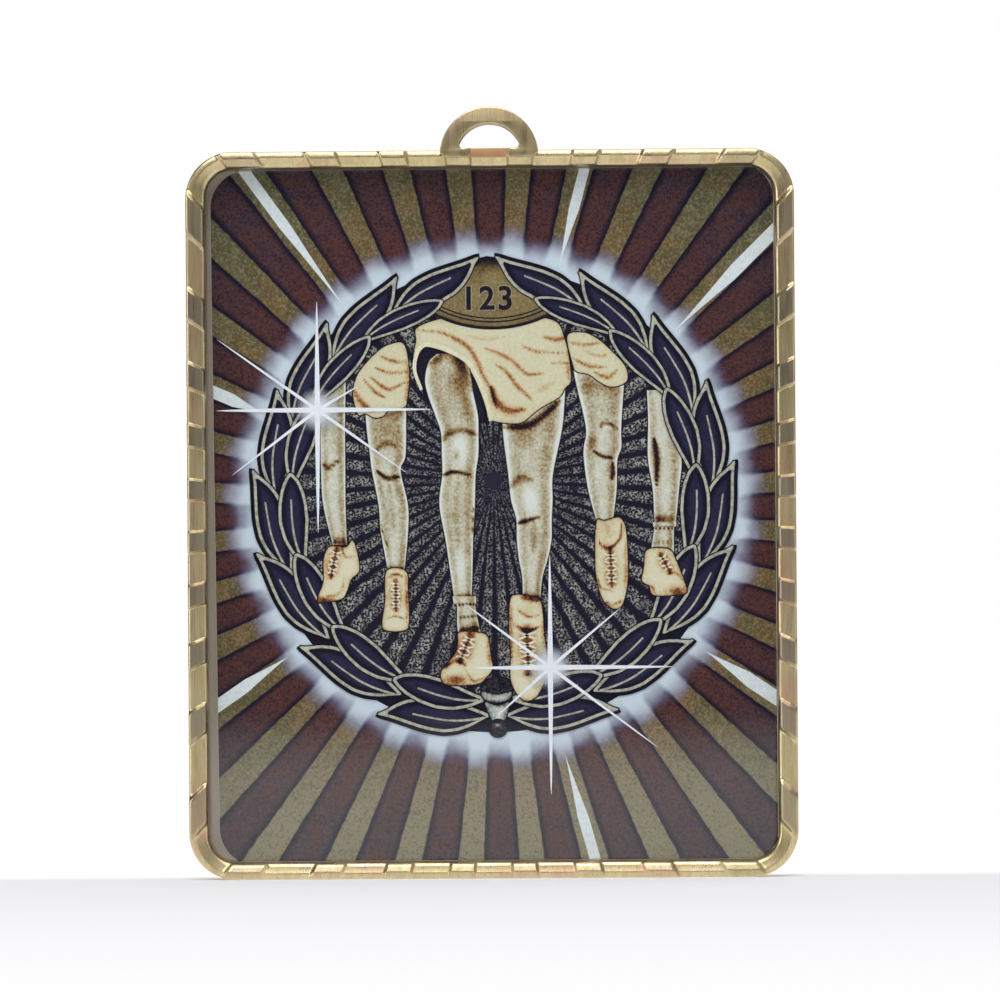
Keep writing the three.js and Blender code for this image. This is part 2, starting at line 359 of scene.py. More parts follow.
class Drawing:
    def __init__(self):
        self.points, self.faces, self.values = [], [], {"tone": [], "edge": [], "vein": []}

    def add(self, points, faces, **values):
        start = len(self.points)
        self.points.extend(points)
        self.faces.extend([tuple(start + i for i in face) for face in faces])
        for key, store in self.values.items():
            given = values.get(key, 0.0)
            store.extend(np.broadcast_to(given, len(points)) if np.isscalar(given) else given)

    # a sheet of rows and columns, with its underside and its sides
    def sheet(self, x, y, level, tone=0.0, edge=1.0, vein=9.0):
        rows, columns = x.shape
        top = np.stack([x, y, np.full_like(x, level)], -1).reshape(-1, 3)
        under = top - [0, 0, inkThickness]
        count = rows * columns
        at = np.arange(count).reshape(rows, columns)
        faces = []
        for a, b, c, d in zip(at[:-1, :-1].ravel(), at[:-1, 1:].ravel(), at[1:, 1:].ravel(),
                              at[1:, :-1].ravel()):
            faces += [(a, b, c, d), (d + count, c + count, b + count, a + count)]
        rim = [*at[0, :-1], *at[:-1, -1], *at[-1, :0:-1], *at[:0:-1, 0]]
        faces += [(q, p, p + count, q + count) for p, q in zip(rim, rim[1:] + rim[:1])]
        spread = {k: np.tile(np.broadcast_to(v, x.shape).ravel(), 2) for k, v in
                  {"tone": tone, "edge": edge, "vein": vein}.items()}
        self.add(np.concatenate([top, under]), faces, **spread)

    # a filled closed outline, as rings that shrink to its middle
    def blob(self, outline, level, paint=None, rings=9, middle=None):
        outline = np.asarray(outline, float)
        middle = outline.mean(0) if middle is None else np.asarray(middle, float)
        shares = 1 - (np.arange(rings) / rings) ** 0.8
        flat = np.concatenate([middle + (outline - middle) * s for s in shares] + [middle[None]])
        count, m = len(flat), len(outline)
        faces = []
        for ring in range(rings - 1):
            for i in range(m):
                j = (i + 1) % m
                a, b, c, d = ring * m + i, ring * m + j, (ring + 1) * m + j, (ring + 1) * m + i
                faces += [(a, b, c, d), (d + count, c + count, b + count, a + count)]
        last = (rings - 1) * m
        for i in range(m):
            j = (i + 1) % m
            faces += [(last + i, last + j, count - 1), (last + j + count, last + i + count, 2 * count - 1)]
            faces.append((i, i + count, j + count, j))
        edge = outlineDistance(flat, outline)
        tone = np.zeros(count) if paint is None else paint(flat[:, 0], flat[:, 1], edge)
        top = np.column_stack([flat, np.full(count, level)])
        self.add(np.concatenate([top, top - [0, 0, inkThickness]]), faces,
                 tone=np.tile(tone, 2), edge=np.tile(edge, 2), vein=9.0)

    # a tapered pen stroke through a few points
    def stroke(self, points, width, level, taper=0.35, steps=6):
        path = smoothThrough(points, steps)
        along = np.gradient(path, axis=0)
        across = np.stack([-along[:, 1], along[:, 0]], 1)
        across /= np.maximum(np.linalg.norm(across, axis=1, keepdims=True), 1e-9)
        t = np.linspace(0, 1, len(path))
        half = width / 2 * (taper + (1 - taper) * np.sin(np.pi * t) ** 0.6)
        left, right = path - across * half[:, None], path + across * half[:, None]
        self.sheet(np.stack([left[:, 0], right[:, 0]], 1), np.stack([left[:, 1], right[:, 1]], 1), level)

    def piece(self, name, material, slot="printed_insert"):
        mesh = bpy.data.meshes.new(name)
        mesh.from_pydata(stand(self.points).tolist(), [], self.faces)
        for key, values in self.values.items():
            store = mesh.attributes.new(key, "FLOAT", "POINT")
            store.data.foreach_set("value", np.asarray(values, np.float32))
        mesh.materials.append(material)
        facesOut(mesh)
        made = bpy.data.objects.new(name, mesh)
        bpy.context.scene.collection.objects.link(made)
        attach(made, "root")
        return made


def facesOut(mesh, sharpDegrees=None):
    work = bmesh.new()
    work.from_mesh(mesh)
    bmesh.ops.recalc_face_normals(work, faces=work.faces)
    if sharpDegrees:
        for face in work.faces:
            face.smooth = True
        for edge in work.edges:
            edge.smooth = len(edge.link_faces) == 2 and edge.calc_face_angle(0) < math.radians(sharpDegrees)
    work.to_mesh(mesh)
    work.free()


def smoothThrough(points, steps=8, closed=False):  # a smooth line through given points
    p = np.asarray(points, float)
    if closed:
        a, b, c, d = np.roll(p, 1, 0), p, np.roll(p, -1, 0), np.roll(p, -2, 0)
    else:
        full = np.concatenate([2 * p[:1] - p[1:2], p, 2 * p[-1:] - p[-2:-1]])
        a, b, c, d = full[:-3], full[1:-2], full[2:-1], full[3:]
    t = (np.arange(steps) / steps)[None, :, None]
    a, b, c, d = (v[:, None, :] for v in (a, b, c, d))
    square, cube = 2 * a - 5 * b + 4 * c - d, 3 * b - a - 3 * c + d
    line = 0.5 * (2 * b + (c - a) * t + square * t ** 2 + cube * t ** 3)
    line = line.reshape(-1, p.shape[1])
    return line if closed else np.concatenate([line, p[-1:]])


def outlineDistance(points, outline):
    a, b = outline, np.roll(outline, -1, 0)
    ab = b - a
    ap = points[:, None, :] - a[None]
    t = np.clip((ap * ab).sum(-1) / np.maximum((ab ** 2).sum(-1), 1e-12), 0, 1)
    return np.sqrt(((ap - t[..., None] * ab) ** 2).sum(-1)).min(1)


def circlePoints(centre, radius, steps, start=0.0, end=2 * math.pi):
    angles = np.linspace(start, end, steps, endpoint=abs(end - start) < 2 * math.pi - 1e-6)
    return np.stack([centre[0] + radius * np.cos(angles), centre[1] + radius * np.sin(angles)], 1)


# the casting

casting = {
    "blocks": 36, "blockDegrees": 4, "sideDegrees": 0.27,
    "sideRim": 1.8, "endRim": 1.55, "rim": 1.7,  # real widths, and the width the profile is drawn at
    "lowLand": (0.64, 1.2), "highLand": (0.8, 1.36),  # where the flat land ends and the slope ends
    "edgeRound": 0.26, "crown": 0.08, "slopeDrop": 0.17, "wallTop": 4.0,
    "backBorder": 3.6, "backDepth": 0.35, "backCorner": 2.0,
    "stepDegrees": 0.5,
    # rows of the back field, first on the face, last in the window
    "fieldRows": 5, "frontRow": 16, "wallRows": 2,
    "fieldLow": 0.5, "wallLow": (0.2, 1.0),  # how dull those rows are
}


def roundedReach(angles, insetX, insetY, corner):  # from the middle to a rounded outline, along each ray
    halfWidth, halfHeight = plaque["width"] / 2 - insetX, plaque["height"] / 2 - insetY
    c, s = np.abs(np.cos(angles)), np.abs(np.sin(angles))
    side = halfWidth / np.maximum(c, 1e-9)
    top = halfHeight / np.maximum(s, 1e-9)
    x, y = halfWidth - corner, halfHeight - corner
    along = c * x + s * y
    arc = along + np.sqrt(np.maximum(along ** 2 - (x * x + y * y - corner ** 2), 0))
    return np.where(side * s <= y, side, np.where(top * c <= x, top, arc))


def rimProfile(top, land, slopeEnd):  # rows (side inset, end inset, corner radius, height), back to window
    e, rim, border, depth = (casting[k] for k in ("edgeRound", "rim", "backBorder", "backDepth"))
    wide, tall = casting["sideRim"] / rim, casting["endRim"] / rim
    corner, backCorner, drop = plaque["corner"], casting["backCorner"], casting["slopeDrop"]
    rows = [(border + d, border + d, backCorner - d, z) for d, z in
            ((1.0, depth), (0.6, depth), (0.25, depth), (0.08, depth - 0.06), (0.0, 0.05), (-0.06, 0.0))]
    rows += [(i, i, corner - i, z) for i, z in
             ((e * (1 - math.sin(a)), e * (1 - math.cos(a))) for a in np.linspace(0, math.pi / 2, 5))]
    shoulder = top - casting["crown"]
    turns = np.linspace(0, math.radians(80), 6)
    front = [(e * (1 - math.cos(a)), shoulder - e * (1 - math.sin(a))) for a in turns]
    front += [(land - 0.08, top), (land, top - 0.008), (land + 0.08, top - 0.03),
              (slopeEnd - 0.06, top - drop + 0.025)]
    across, down = rim - slopeEnd, top - drop - casting["wallTop"] - 0.12
    front += [(slopeEnd + across * math.sin(a), top - drop - down * (1 - math.cos(a)))
              for a in np.radians([10, 30, 50, 70, 85])]
    front += [(rim, casting["wallTop"]), (rim, plaque["windowFloor"])]
    rows += [(i * wide, i * tall, corner - i, z) for i, z in front]
    return np.array(rows)


def buildRim():
    period = 360 / casting["blocks"]
    half, side = casting["blockDegrees"] / 2, casting["sideDegrees"]
    angles = list(np.arange(0, 360, casting["stepDegrees"]))
    for i in range(casting["blocks"]):
        middle = (i + 0.5) * period
        for sign in (-1, 1):
            angles += [middle + sign * (half + side * k) for k in (-1, -0.4, 0.4, 1)]
    angles = np.unique(np.round(angles, 4))
    offBlock = np.abs(np.mod(angles, period) - period / 2) - half
    raised = np.clip(0.5 - offBlock / (2 * side), 0, 1)
    raised = (raised ** 2 * (3 - 2 * raised))[None, :]
    low = rimProfile(plaque["low"], *casting["lowLand"])
    high = rimProfile(plaque["high"], *casting["highLand"])
    insetX, insetY, corner, height = (
        low[:, k, None] * (1 - raised) + high[:, k, None] * raised for k in range(4))
    radians = np.radians(angles)[None, :]
    reach = roundedReach(np.broadcast_to(radians, insetX.shape), insetX, insetY, corner)
    x, y = reach * np.cos(radians), reach * np.sin(radians)
    rows, columns = x.shape
    points = np.stack([x, y, height], -1).reshape(-1, 3)
    at = np.arange(rows * columns).reshape(rows, columns)
    nextColumn = np.roll(at, -1, 1)
    corners = np.stack([at[:-1], nextColumn[:-1], nextColumn[1:], at[1:]], -1)
    faces = [tuple(f) for f in corners.reshape(-1, 4)]
    backMiddle, floorMiddle = len(points), len(points) + 1
    points = np.concatenate([points, [[0, 0, casting["backDepth"]], [0, 0, plaque["windowFloor"]]]])
    faces += [(backMiddle, b, a) for a, b in zip(at[0], nextColumn[0])]
    faces += [(floorMiddle, a, b) for a, b in zip(at[-1], nextColumn[-1])]
    # the back field and the window's floor are out of the brush's reach, and the face alone has greyed blocks
    wallRows = casting["wallRows"]
    rowLow = np.zeros(rows)
    rowLow[:casting["fieldRows"]] = casting["fieldLow"]
    rowLow[-wallRows:] = casting["wallLow"]
    lowness = (rowLow[:, None] * np.ones(columns)).ravel()
    sideways = np.clip(np.abs(np.cos(radians)) * 2.2 - 0.9, 0.15, 1)  # most at the sides, little at the ends
    row = np.arange(rows)
    onFace = (row >= casting["frontRow"]) & (row < rows - wallRows)
    blocks = (onFace[:, None] * raised * sideways).ravel()
    middles = [casting["fieldLow"], casting["wallLow"][-1]]
    return points, faces, np.concatenate([lowness, middles]), np.concatenate([blocks, [0, 0]])


loop = {
    "outer": 4.8, "inner": 3.18, "drop": 0.57, "thickness": 2.6, "edgeRound": 0.11, "proud": 0.015,
    "root": 0.7, "rootRise": 0.17, "footInside": 1.88, "footOutside": 4.62, "footTaper": (0.2, 0.35),
    "fillet": 0.4, "webRise": 0.2, "webHalfWidth": 2.0, "webEdge": 0.02, "webWear": -0.8, "sunk": 0.012,
}


def loopOutline():
    top = plaque["height"] / 2
    centre, floor, base = top - loop["drop"], top + loop["webRise"], top - loop["root"]
    rootAngle = math.asin(loop["rootRise"] / loop["outer"])
    outer = circlePoints((0, centre), loop["outer"], 49, rootAngle, math.pi - rootAngle)
    filletY = floor + loop["fillet"]
    filletX = math.sqrt((loop["inner"] - loop["fillet"]) ** 2 - (filletY - centre) ** 2)
    meet = math.atan2(filletY - centre, filletX)
    inner = circlePoints((0, centre), loop["inner"], 33, math.pi - meet, meet)
    right = circlePoints((filletX, filletY), loop["fillet"], 7, meet, -math.pi / 2)
    left = right[::-1] * [-1, 1]
    inside, outside = loop["footInside"], loop["footOutside"]
    taperX, taperY = loop["footTaper"]
    foot = np.array([[inside, floor], [inside, base], [outside - taperX, base], [outside, base + taperY]])
    return np.concatenate([outer, foot[::-1] * [-1, 1], left, inner[1:-1], right, foot])


def slabFromOutline(outline, bottom, top, bevel):  # a flat plate with rounded edges, cut to an outline
    curve = bpy.data.curves.new("outline", "CURVE")
    curve.dimensions, curve.fill_mode = "2D", "BOTH"
    spline = curve.splines.new("POLY")
    spline.points.add(len(outline) - 1)
    corners = np.column_stack([outline, np.zeros(len(outline)), np.ones(len(outline))])
    spline.points.foreach_set("co", corners.ravel())
    spline.use_cyclic_u = True
    curve.extrude = (top - bottom) / 2 - bevel
    curve.bevel_depth, curve.bevel_resolution, curve.offset = bevel, 2, -bevel
    holder = bpy.data.objects.new("outline", curve)
    mesh = bpy.data.meshes.new_from_object(holder)
    bpy.data.objects.remove(holder)
    work = bmesh.new()
    work.from_mesh(mesh)
    bmesh.ops.remove_doubles(work, verts=work.verts, dist=1e-4)
    points = np.array([v.co for v in work.verts]) + [0, 0, (top + bottom) / 2]
    faces = [tuple(v.index for v in f.verts) for f in work.faces]
    work.free()
    return points, faces


def buildCasting(material):
    drawing = Drawing()
    drawing.values["low"] = []
    points, faces, low, blocks = buildRim()
    drawing.add(points, faces, low=low, tone=blocks)
    front = plaque["high"] + loop["proud"]
    points, faces = slabFromOutline(loopOutline(), plaque["high"] - loop["thickness"], front,
                                    loop["edgeRound"])
    drawing.add(points, faces)
    top = plaque["height"] / 2  # the worn web between the loop's feet, with its ends inside them
    wide, floor, base = loop["webHalfWidth"], top + loop["webRise"] - loop["sunk"], top - loop["root"]
    web = np.array([[-wide, base], [wide, base], [wide, floor], [-wide, floor]])
    back, front = plaque["high"] - loop["thickness"] + loop["webEdge"], plaque["low"] + loop["proud"]
    points, faces = slabFromOutline(web, back, front, loop["webEdge"])
    drawing.add(points, faces, low=loop["webWear"])
    made = drawing.piece("antique_gold_casting", material, "antique_gold_casting")
    facesOut(made.data, sharpDegrees=32)
    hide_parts("cast_frame")


def finishCarriedOver(name, material):  # a CAD piece that is shown as it is
    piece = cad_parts[name]
    piece.data.materials.clear()
    piece.data.materials.append(material)


buildCasting(antiqueGoldPlate())
finishCarriedOver("acrylic_tile", clearAcrylic())
finishCarriedOver("adhesive_pad", foamTape())
print("casting built, tile and pad finished")


# the printed picture: levels are heights of ink above the insert's back, all inside its thickness

level = {name: insertBack + height for name, height in {
    "sheet": 0.10, "sunburst": 0.108, "rays": 0.116, "field": 0.116, "farLimbs": 0.130, "farShorts": 0.142,
    "nearLimb": 0.152, "shorts": 0.162, "hollow": 0.171, "thigh": 0.180, "hem": 0.189, "bib": 0.198,
    "number": 0.206, "outerLeaves": 0.217, "innerLeaves": 0.250, "tie": 0.276, "shoes": 0.282, "ink": 0.288,
    "halo": 0.292, "sparkle": 0.2962}.items()}
insert = {"width": 55.2, "height": 68.2, "corner": 3.8, "shift": 0.45, "turn": math.radians(0.5),
          "roomX": 27.75, "roomY": 33.8, "whiteEdge": 0.06}


def sheetOutline(inset):  # turned a little, and trimmed to the window's room
    corner, points = insert["corner"] - inset, []
    x, y = insert["width"] / 2 - insert["corner"], insert["height"] / 2 - insert["corner"]
    for i, (sx, sy) in enumerate(((1, 1), (-1, 1), (-1, -1), (1, -1))):
        points.append(circlePoints((sx * x, sy * y), corner, 14, i * math.pi / 2, (i + 1) * math.pi / 2))
    points = np.concatenate(points)
    share = np.linspace(0, 1, 12, endpoint=False)[None, :, None]
    points = (points[:, None] + (np.roll(points, -1, 0) - points)[:, None] * share).reshape(-1, 2)
    c, s = math.cos(insert["turn"]), math.sin(insert["turn"])
    points = points @ np.array([[c, s], [-s, c]]) + [insert["shift"], 0]
    room = np.array([insert["roomX"], insert["roomY"]]) - inset
    return np.clip(points, -room, room)


def buildSheet(name, material, inset, bottom, top):
    outline = sheetOutline(inset)
    n = len(outline)
    points = np.concatenate([np.column_stack([outline, np.full(n, z)]) for z in (top, bottom)])
    drawing = Drawing()
    sides = [(i, (i + 1) % n, (i + 1) % n + n, i + n) for i in range(n)]
    drawing.add(points, [tuple(range(n)), tuple(range(2 * n - 1, n - 1, -1)), *sides])
    return drawing.piece(name, material)


whiteRays = {  # degrees from straight up: width in millimetres, reached part of the way out
    "widths": {-66.6: 1.2, -36.0: 1.05, 15.0: 1.0, 45.2: 1.25, 123.9: 1.35, 164.3: 1.05, -124.6: 1.2},
    "tip": 24.6, "fullWidthAt": 0.6,
}


def reachToEdge(start, direction):  # how far a ray runs before it leaves the print
    a = sheetOutline(insert["whiteEdge"])
    ab = np.roll(a, -1, 0) - a
    cross = direction[0] * ab[:, 1] - direction[1] * ab[:, 0]
    cross = np.where(np.abs(cross) < 1e-9, 1e-9, cross)
    t = ((a[:, 0] - start[0]) * ab[:, 1] - (a[:, 1] - start[1]) * ab[:, 0]) / cross
    u = ((a[:, 0] - start[0]) * direction[1] - (a[:, 1] - start[1]) * direction[0]) / cross
    return t[(u >= 0) & (u <= 1) & (t > 0)].min()


def buildWhiteRays(material):
    drawing = Drawing()
    share = np.linspace(0, 1, 11)[:, None]
    swell = np.minimum(share / whiteRays["fullWidthAt"], 1) ** 1.2
    for degrees, width in whiteRays["widths"].items():
        along = np.array([math.sin(math.radians(degrees)), math.cos(math.radians(degrees))])
        aside = np.array([along[1], -along[0]]) * width / 2
        tip = np.array(rayCentre) + along * whiteRays["tip"]
        edges = np.stack([
            tip + aside * side * swell + along * share * (reachToEdge(tip + aside * side, along) - 0.02)
            for side in (-1, 1)], 1)
        drawing.sheet(edges[..., 0], edges[..., 1], level["rays"])
    drawing.piece("printed_white_rays", material)


def buildField(material, radius=21.5):
    drawing = Drawing()
    drawing.blob(circlePoints(wreathCentre, radius, 96), level["field"], rings=3)
    drawing.piece("printed_dark_field", material)


wreathGround = {  # the dark ground under the leaves, with the peak where the two branches meet
    "inner": 19.2, "outer": 22.7, "fromDegrees": 91, "toDegrees": 449, "ringLift": 0.004, "peakLift": 0.008,
    "peak": [(-1.4, 25.0), (-2.4, 24.2), (-1.2, 23.3), (0.0, 23.9), (1.3, 23.2), (2.4, 24.1), (0.6, 25.1),
             (-0.35, 25.25)],
}


def buildWreathGround(material):
    drawing = Drawing()
    around = np.radians(np.linspace(wreathGround["fromDegrees"], wreathGround["toDegrees"], 181))[:, None]
    across = np.linspace(wreathGround["inner"], wreathGround["outer"], 4)[None, :]
    x, y = wreathCentre[0] + across * np.cos(around), wreathCentre[1] + across * np.sin(around)
    drawing.sheet(x, y, level["field"] + wreathGround["ringLift"])
    drawing.blob(wreathGround["peak"], level["field"] + wreathGround["peakLift"], rings=3)
    drawing.piece("printed_wreath_ground", material)


base = buildSheet("white_plastic_sheet", plainInk("white plastic sheet", "#cfcac0", "#bdb8ae"),
                  0, insertBack, level["sheet"])
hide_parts("printed_insert")
buildSheet("printed_sunburst", sunburstPrint(), insert["whiteEdge"], level["sheet"] - 0.002,
           level["sunburst"])
buildWhiteRays(plainInk("printed white ray", "#e9f0f2", "#dbe4e8"))
buildField(fieldPrint())
buildWreathGround(plainInk("printed dark ground", "#191a2c", "#211f33"))
print("sunburst and field printed")


# runners: marks are soft lines (points, width, strength) and soft patches (place, size, strength)

skin = figurePrint("printed legs", skinStops)
cloth = figurePrint("printed shorts and shoes", clothStops)
darkInk = plainInk("printed dark line", "#221a26", "#2d2230")


def marked(x, y, lines=(), patches=()):
    tone = np.zeros(np.shape(x))
    for points, width, strength in lines:
        path = smoothThrough(points, 6)
        reach = width * (0.4 + 0.6 * np.sin(np.pi * np.linspace(0, 1, len(path))) ** 0.7)
        away = (x[..., None] - path[:, 0]) ** 2 + (y[..., None] - path[:, 1]) ** 2
        tone = tone + strength * np.exp(-away / reach ** 2).max(-1)
    for at, size, strength in patches:
        tone = tone + strength * np.exp(-((x - at[0]) / size[0]) ** 2 - ((y - at[1]) / size[1]) ** 2)
    return tone


limbTone = {  # soft bands down a limb: place across it from -1 to 1, reach, and darkness (light below 0)
    "base": 0.14, "bands": ((0.58, 0.26, 0.3), (-0.56, 0.22, 0.2)), "rim": (0.9, 0.09, -0.25), "marks": 1.3,
}


def limb(drawing, spec, at):  # stations are (height, middle, half width) from the top down
    line = smoothThrough(spec["stations"], 14)
    y, x, half = line[:, 0, None], line[:, 1, None], line[:, 2, None]
    u = np.linspace(-1, 1, 31)[None, :]
    across, down = x + half * u, y + 0 * u
    tone = spec.get("tone", limbTone["base"])
    for place, reach, strength in limbTone["bands"]:
        tone = tone + strength * np.exp(-((u - place) / reach) ** 2)
    place, reach, strength = limbTone["rim"]
    tone = tone + strength * np.exp(-((np.abs(u) - place) / reach) ** 2)
    tone = tone + limbTone["marks"] * marked(across, down, spec.get("lines", ()), spec.get("patches", ()))
    drawing.sheet(across, down, at, tone, half * (1 - np.abs(u)))


farLimbs = [
    {"stations": [(13.0, -15.3, 1.2), (9.0, -15.5, 1.3), (4.3, -15.5, 1.3), (1.0, -15.4, 1.2),
                  (-2.9, -14.9, 0.8)],
     "lines": [([(-16.5, 5.0), (-15.9, 4.7), (-14.9, 5.4)], 0.22, 0.6),
               ([(-15.3, -2.6), (-14.4, -2.7)], 0.5, 0.5)],
     "patches": [((-15.3, 7.6), (0.5, 1.0), 0.12)]},
    {"stations": [(13.0, -10.3, 2.1), (9.3, -10.3, 2.08), (5.8, -10.15, 1.85), (4.3, -10.3, 1.52),
                  (1.0, -9.65, 1.55), (-1.6, -9.55, 1.45), (-5.5, -9.4, 0.92)],
     "lines": [([(-11.2, 6.4), (-10.2, 7.0), (-9.4, 6.7)], 0.3, 0.35),
               ([(-11.2, 4.3), (-10.2, 3.6), (-8.9, 3.8)], 0.24, 0.75),
               ([(-10.1, 3.0), (-9.8, 0.5), (-9.6, -1.5)], 0.35, 0.2),
               ([(-11.1, 0.9), (-10.8, -1.3), (-10.2, -3.2)], 0.12, 0.5),
               ([(-10.2, -5.3), (-8.6, -5.3)], 0.3, 0.5)],
     "patches": [((-10.3, 8.2), (0.9, 1.5), 0.28), ((-10.4, 10.2), (1.8, 0.7), 0.3)]},
    {"stations": [(15.0, 10.6, 2.6), (13.4, 10.6, 2.55), (8.5, 10.95, 1.85), (6.5, 10.85, 1.95),
                  (5.2, 10.65, 1.75), (2.3, 10.8, 1.5), (-0.8, 11.0, 0.9)],
     "lines": [([(10.6, 8.4), (11.2, 8.9), (12.3, 8.3)], 0.22, 0.45),
               ([(10.0, 6.1), (10.8, 5.6), (11.9, 5.4)], 0.2, 0.6),
               ([(11.8, 5.0), (11.9, 4.0), (11.7, 3.4)], 0.22, 0.6)],
     "patches": [((10.6, 12.6), (2.2, 0.8), 0.3), ((9.8, 6.9), (0.5, 0.9), 0.25),
                 ((11.0, 10.6), (0.9, 1.3), 0.12)]},
    {"stations": [(12.0, 16.2, 1.1), (9.0, 16.6, 1.4), (5.4, 16.9, 1.75), (2.3, 17.0, 1.4),
                  (-1.0, 16.9, 1.15)],
     "lines": [([(15.9, 7.2), (16.15, 5.4), (16.1, 2.8)], 0.28, 0.8)],
     "patches": [((16.6, -0.6), (1.2, 0.4), 0.5)]},
    {"stations": [(-0.9, 16.85, 1.25), (-1.35, 16.85, 1.22), (-1.5, 16.8, 1.08), (-3.9, 16.6, 1.25)],
     "tone": 0.16,
     "lines": [([(15.6, -1.5), (18.0, -1.5)], 0.12, 0.7), ([(15.4, -2.9), (18.0, -2.8)], 0.12, 0.5)]},
]
rightLeg = {
    "stations": [(13.0, 4.3, 3.1), (10.6, 4.2, 3.05), (8.2, 4.0, 3.0), (3.9, 3.8, 2.3), (1.4, 3.9, 2.15),
                 (-0.5, 4.1, 1.85), (-2.6, 4.1, 1.8), (-4.5, 4.0, 1.5), (-6.2, 3.9, 1.1), (-8.4, 3.8, 0.95)],
    "lines": [([(1.3, 8.5), (3.4, 8.6), (4.8, 9.4), (6.7, 11.0)], 0.4, 0.7),
              ([(1.8, 2.6), (2.7, 3.5), (3.9, 3.3)], 0.4, 0.35),
              ([(2.5, -0.9), (3.4, -0.65), (4.6, -0.3)], 0.22, 0.75),
              ([(4.1, -0.9), (4.1, -2.0), (4.0, -3.6)], 0.4, 0.28), ([(3.0, -8.0), (4.6, -8.3)], 0.4, 0.6)],
    "patches": [((3.5, 7.6), (1.1, 1.0), 0.2), ((3.7, 5.6), (0.9, 2.0), 0.08),
                ((3.6, 1.3), (1.3, 1.3), -0.13)],
}
leftLeg = {
    "stations": [(15.7, -4.2, 1.2), (14.9, -4.2, 2.0), (13.3, -4.2, 2.36), (11.9, -4.0, 2.35),
                 (9.7, -3.4, 2.2), (8.0, -3.1, 1.95), (5.8, -3.08, 1.9), (3.9, -3.2, 1.75), (1.0, -3.4, 1.85),
                 (-2.6, -3.2, 1.45), (-6.2, -3.0, 1.15), (-8.2, -2.9, 0.95)],
    "lines": [([(-4.7, 7.2), (-4.2, 7.9), (-2.8, 8.2), (-1.5, 7.8)], 0.35, 0.4),
              ([(-4.9, 3.8), (-3.7, 4.15), (-2.1, 3.85)], 0.2, 0.8),
              ([(-3.3, 3.6), (-3.5, 0.5), (-3.3, -3.2)], 0.45, 0.22),
              ([(-1.8, 0.9), (-1.85, -1.2), (-1.7, -3.3)], 0.14, 0.7),
              ([(-6.2, 14.6), (-4.2, 15.6), (-2.4, 14.2), (-1.8, 12.2)], 0.6, 0.35),
              ([(-3.8, -8.1), (-2.0, -8.0)], 0.3, 0.5)],
    "patches": [((-3.6, 13.2), (1.5, 1.6), 0.22), ((-3.5, 10.4), (1.2, 1.8), 0.14),
                ((-3.4, 5.8), (0.3, 0.5), 0.3), ((-3.1, 6.4), (1.4, 1.4), -0.13),
                ((-2.9, -5.4), (0.8, 1.6), -0.08)],
}
leftSock = {
    "stations": [(-8.0, -2.75, 1.25), (-8.7, -2.7, 1.2), (-8.85, -2.6, 1.0), (-10.6, -2.45, 1.15),
                 (-12.0, -2.2, 1.25)], "tone": 0.16,
    "lines": [([(-3.6, -8.85), (-1.5, -8.75)], 0.14, 0.7), ([(-3.5, -10.1), (-1.3, -9.9)], 0.14, 0.6),
              ([(-3.1, -11.3), (-1.3, -11.1)], 0.4, 0.6)],
}
drawing = Drawing()
for spec in farLimbs:
    limb(drawing, spec, level["farLimbs"] + (0.004 if "tone" in spec else 0))
drawing.piece("printed_outer_runners_legs", skin)
drawing = Drawing()
limb(drawing, rightLeg, level["nearLimb"])
limb(drawing, leftLeg, level["thigh"])
limb(drawing, leftSock, level["thigh"] + 0.004)
drawing.piece("printed_centre_runner_legs", skin)


def shade(spec):  # how a shape of cloth is toned, darker towards its rim
    def paint(x, y, edge):
        tone = spec.get("tone", 0.08) + spec.get("rim", 0.22) * np.exp(-edge / 0.25)
        return tone + 1.1 * marked(x, y, spec.get("lines", ()), spec.get("patches", ()))
    return paint


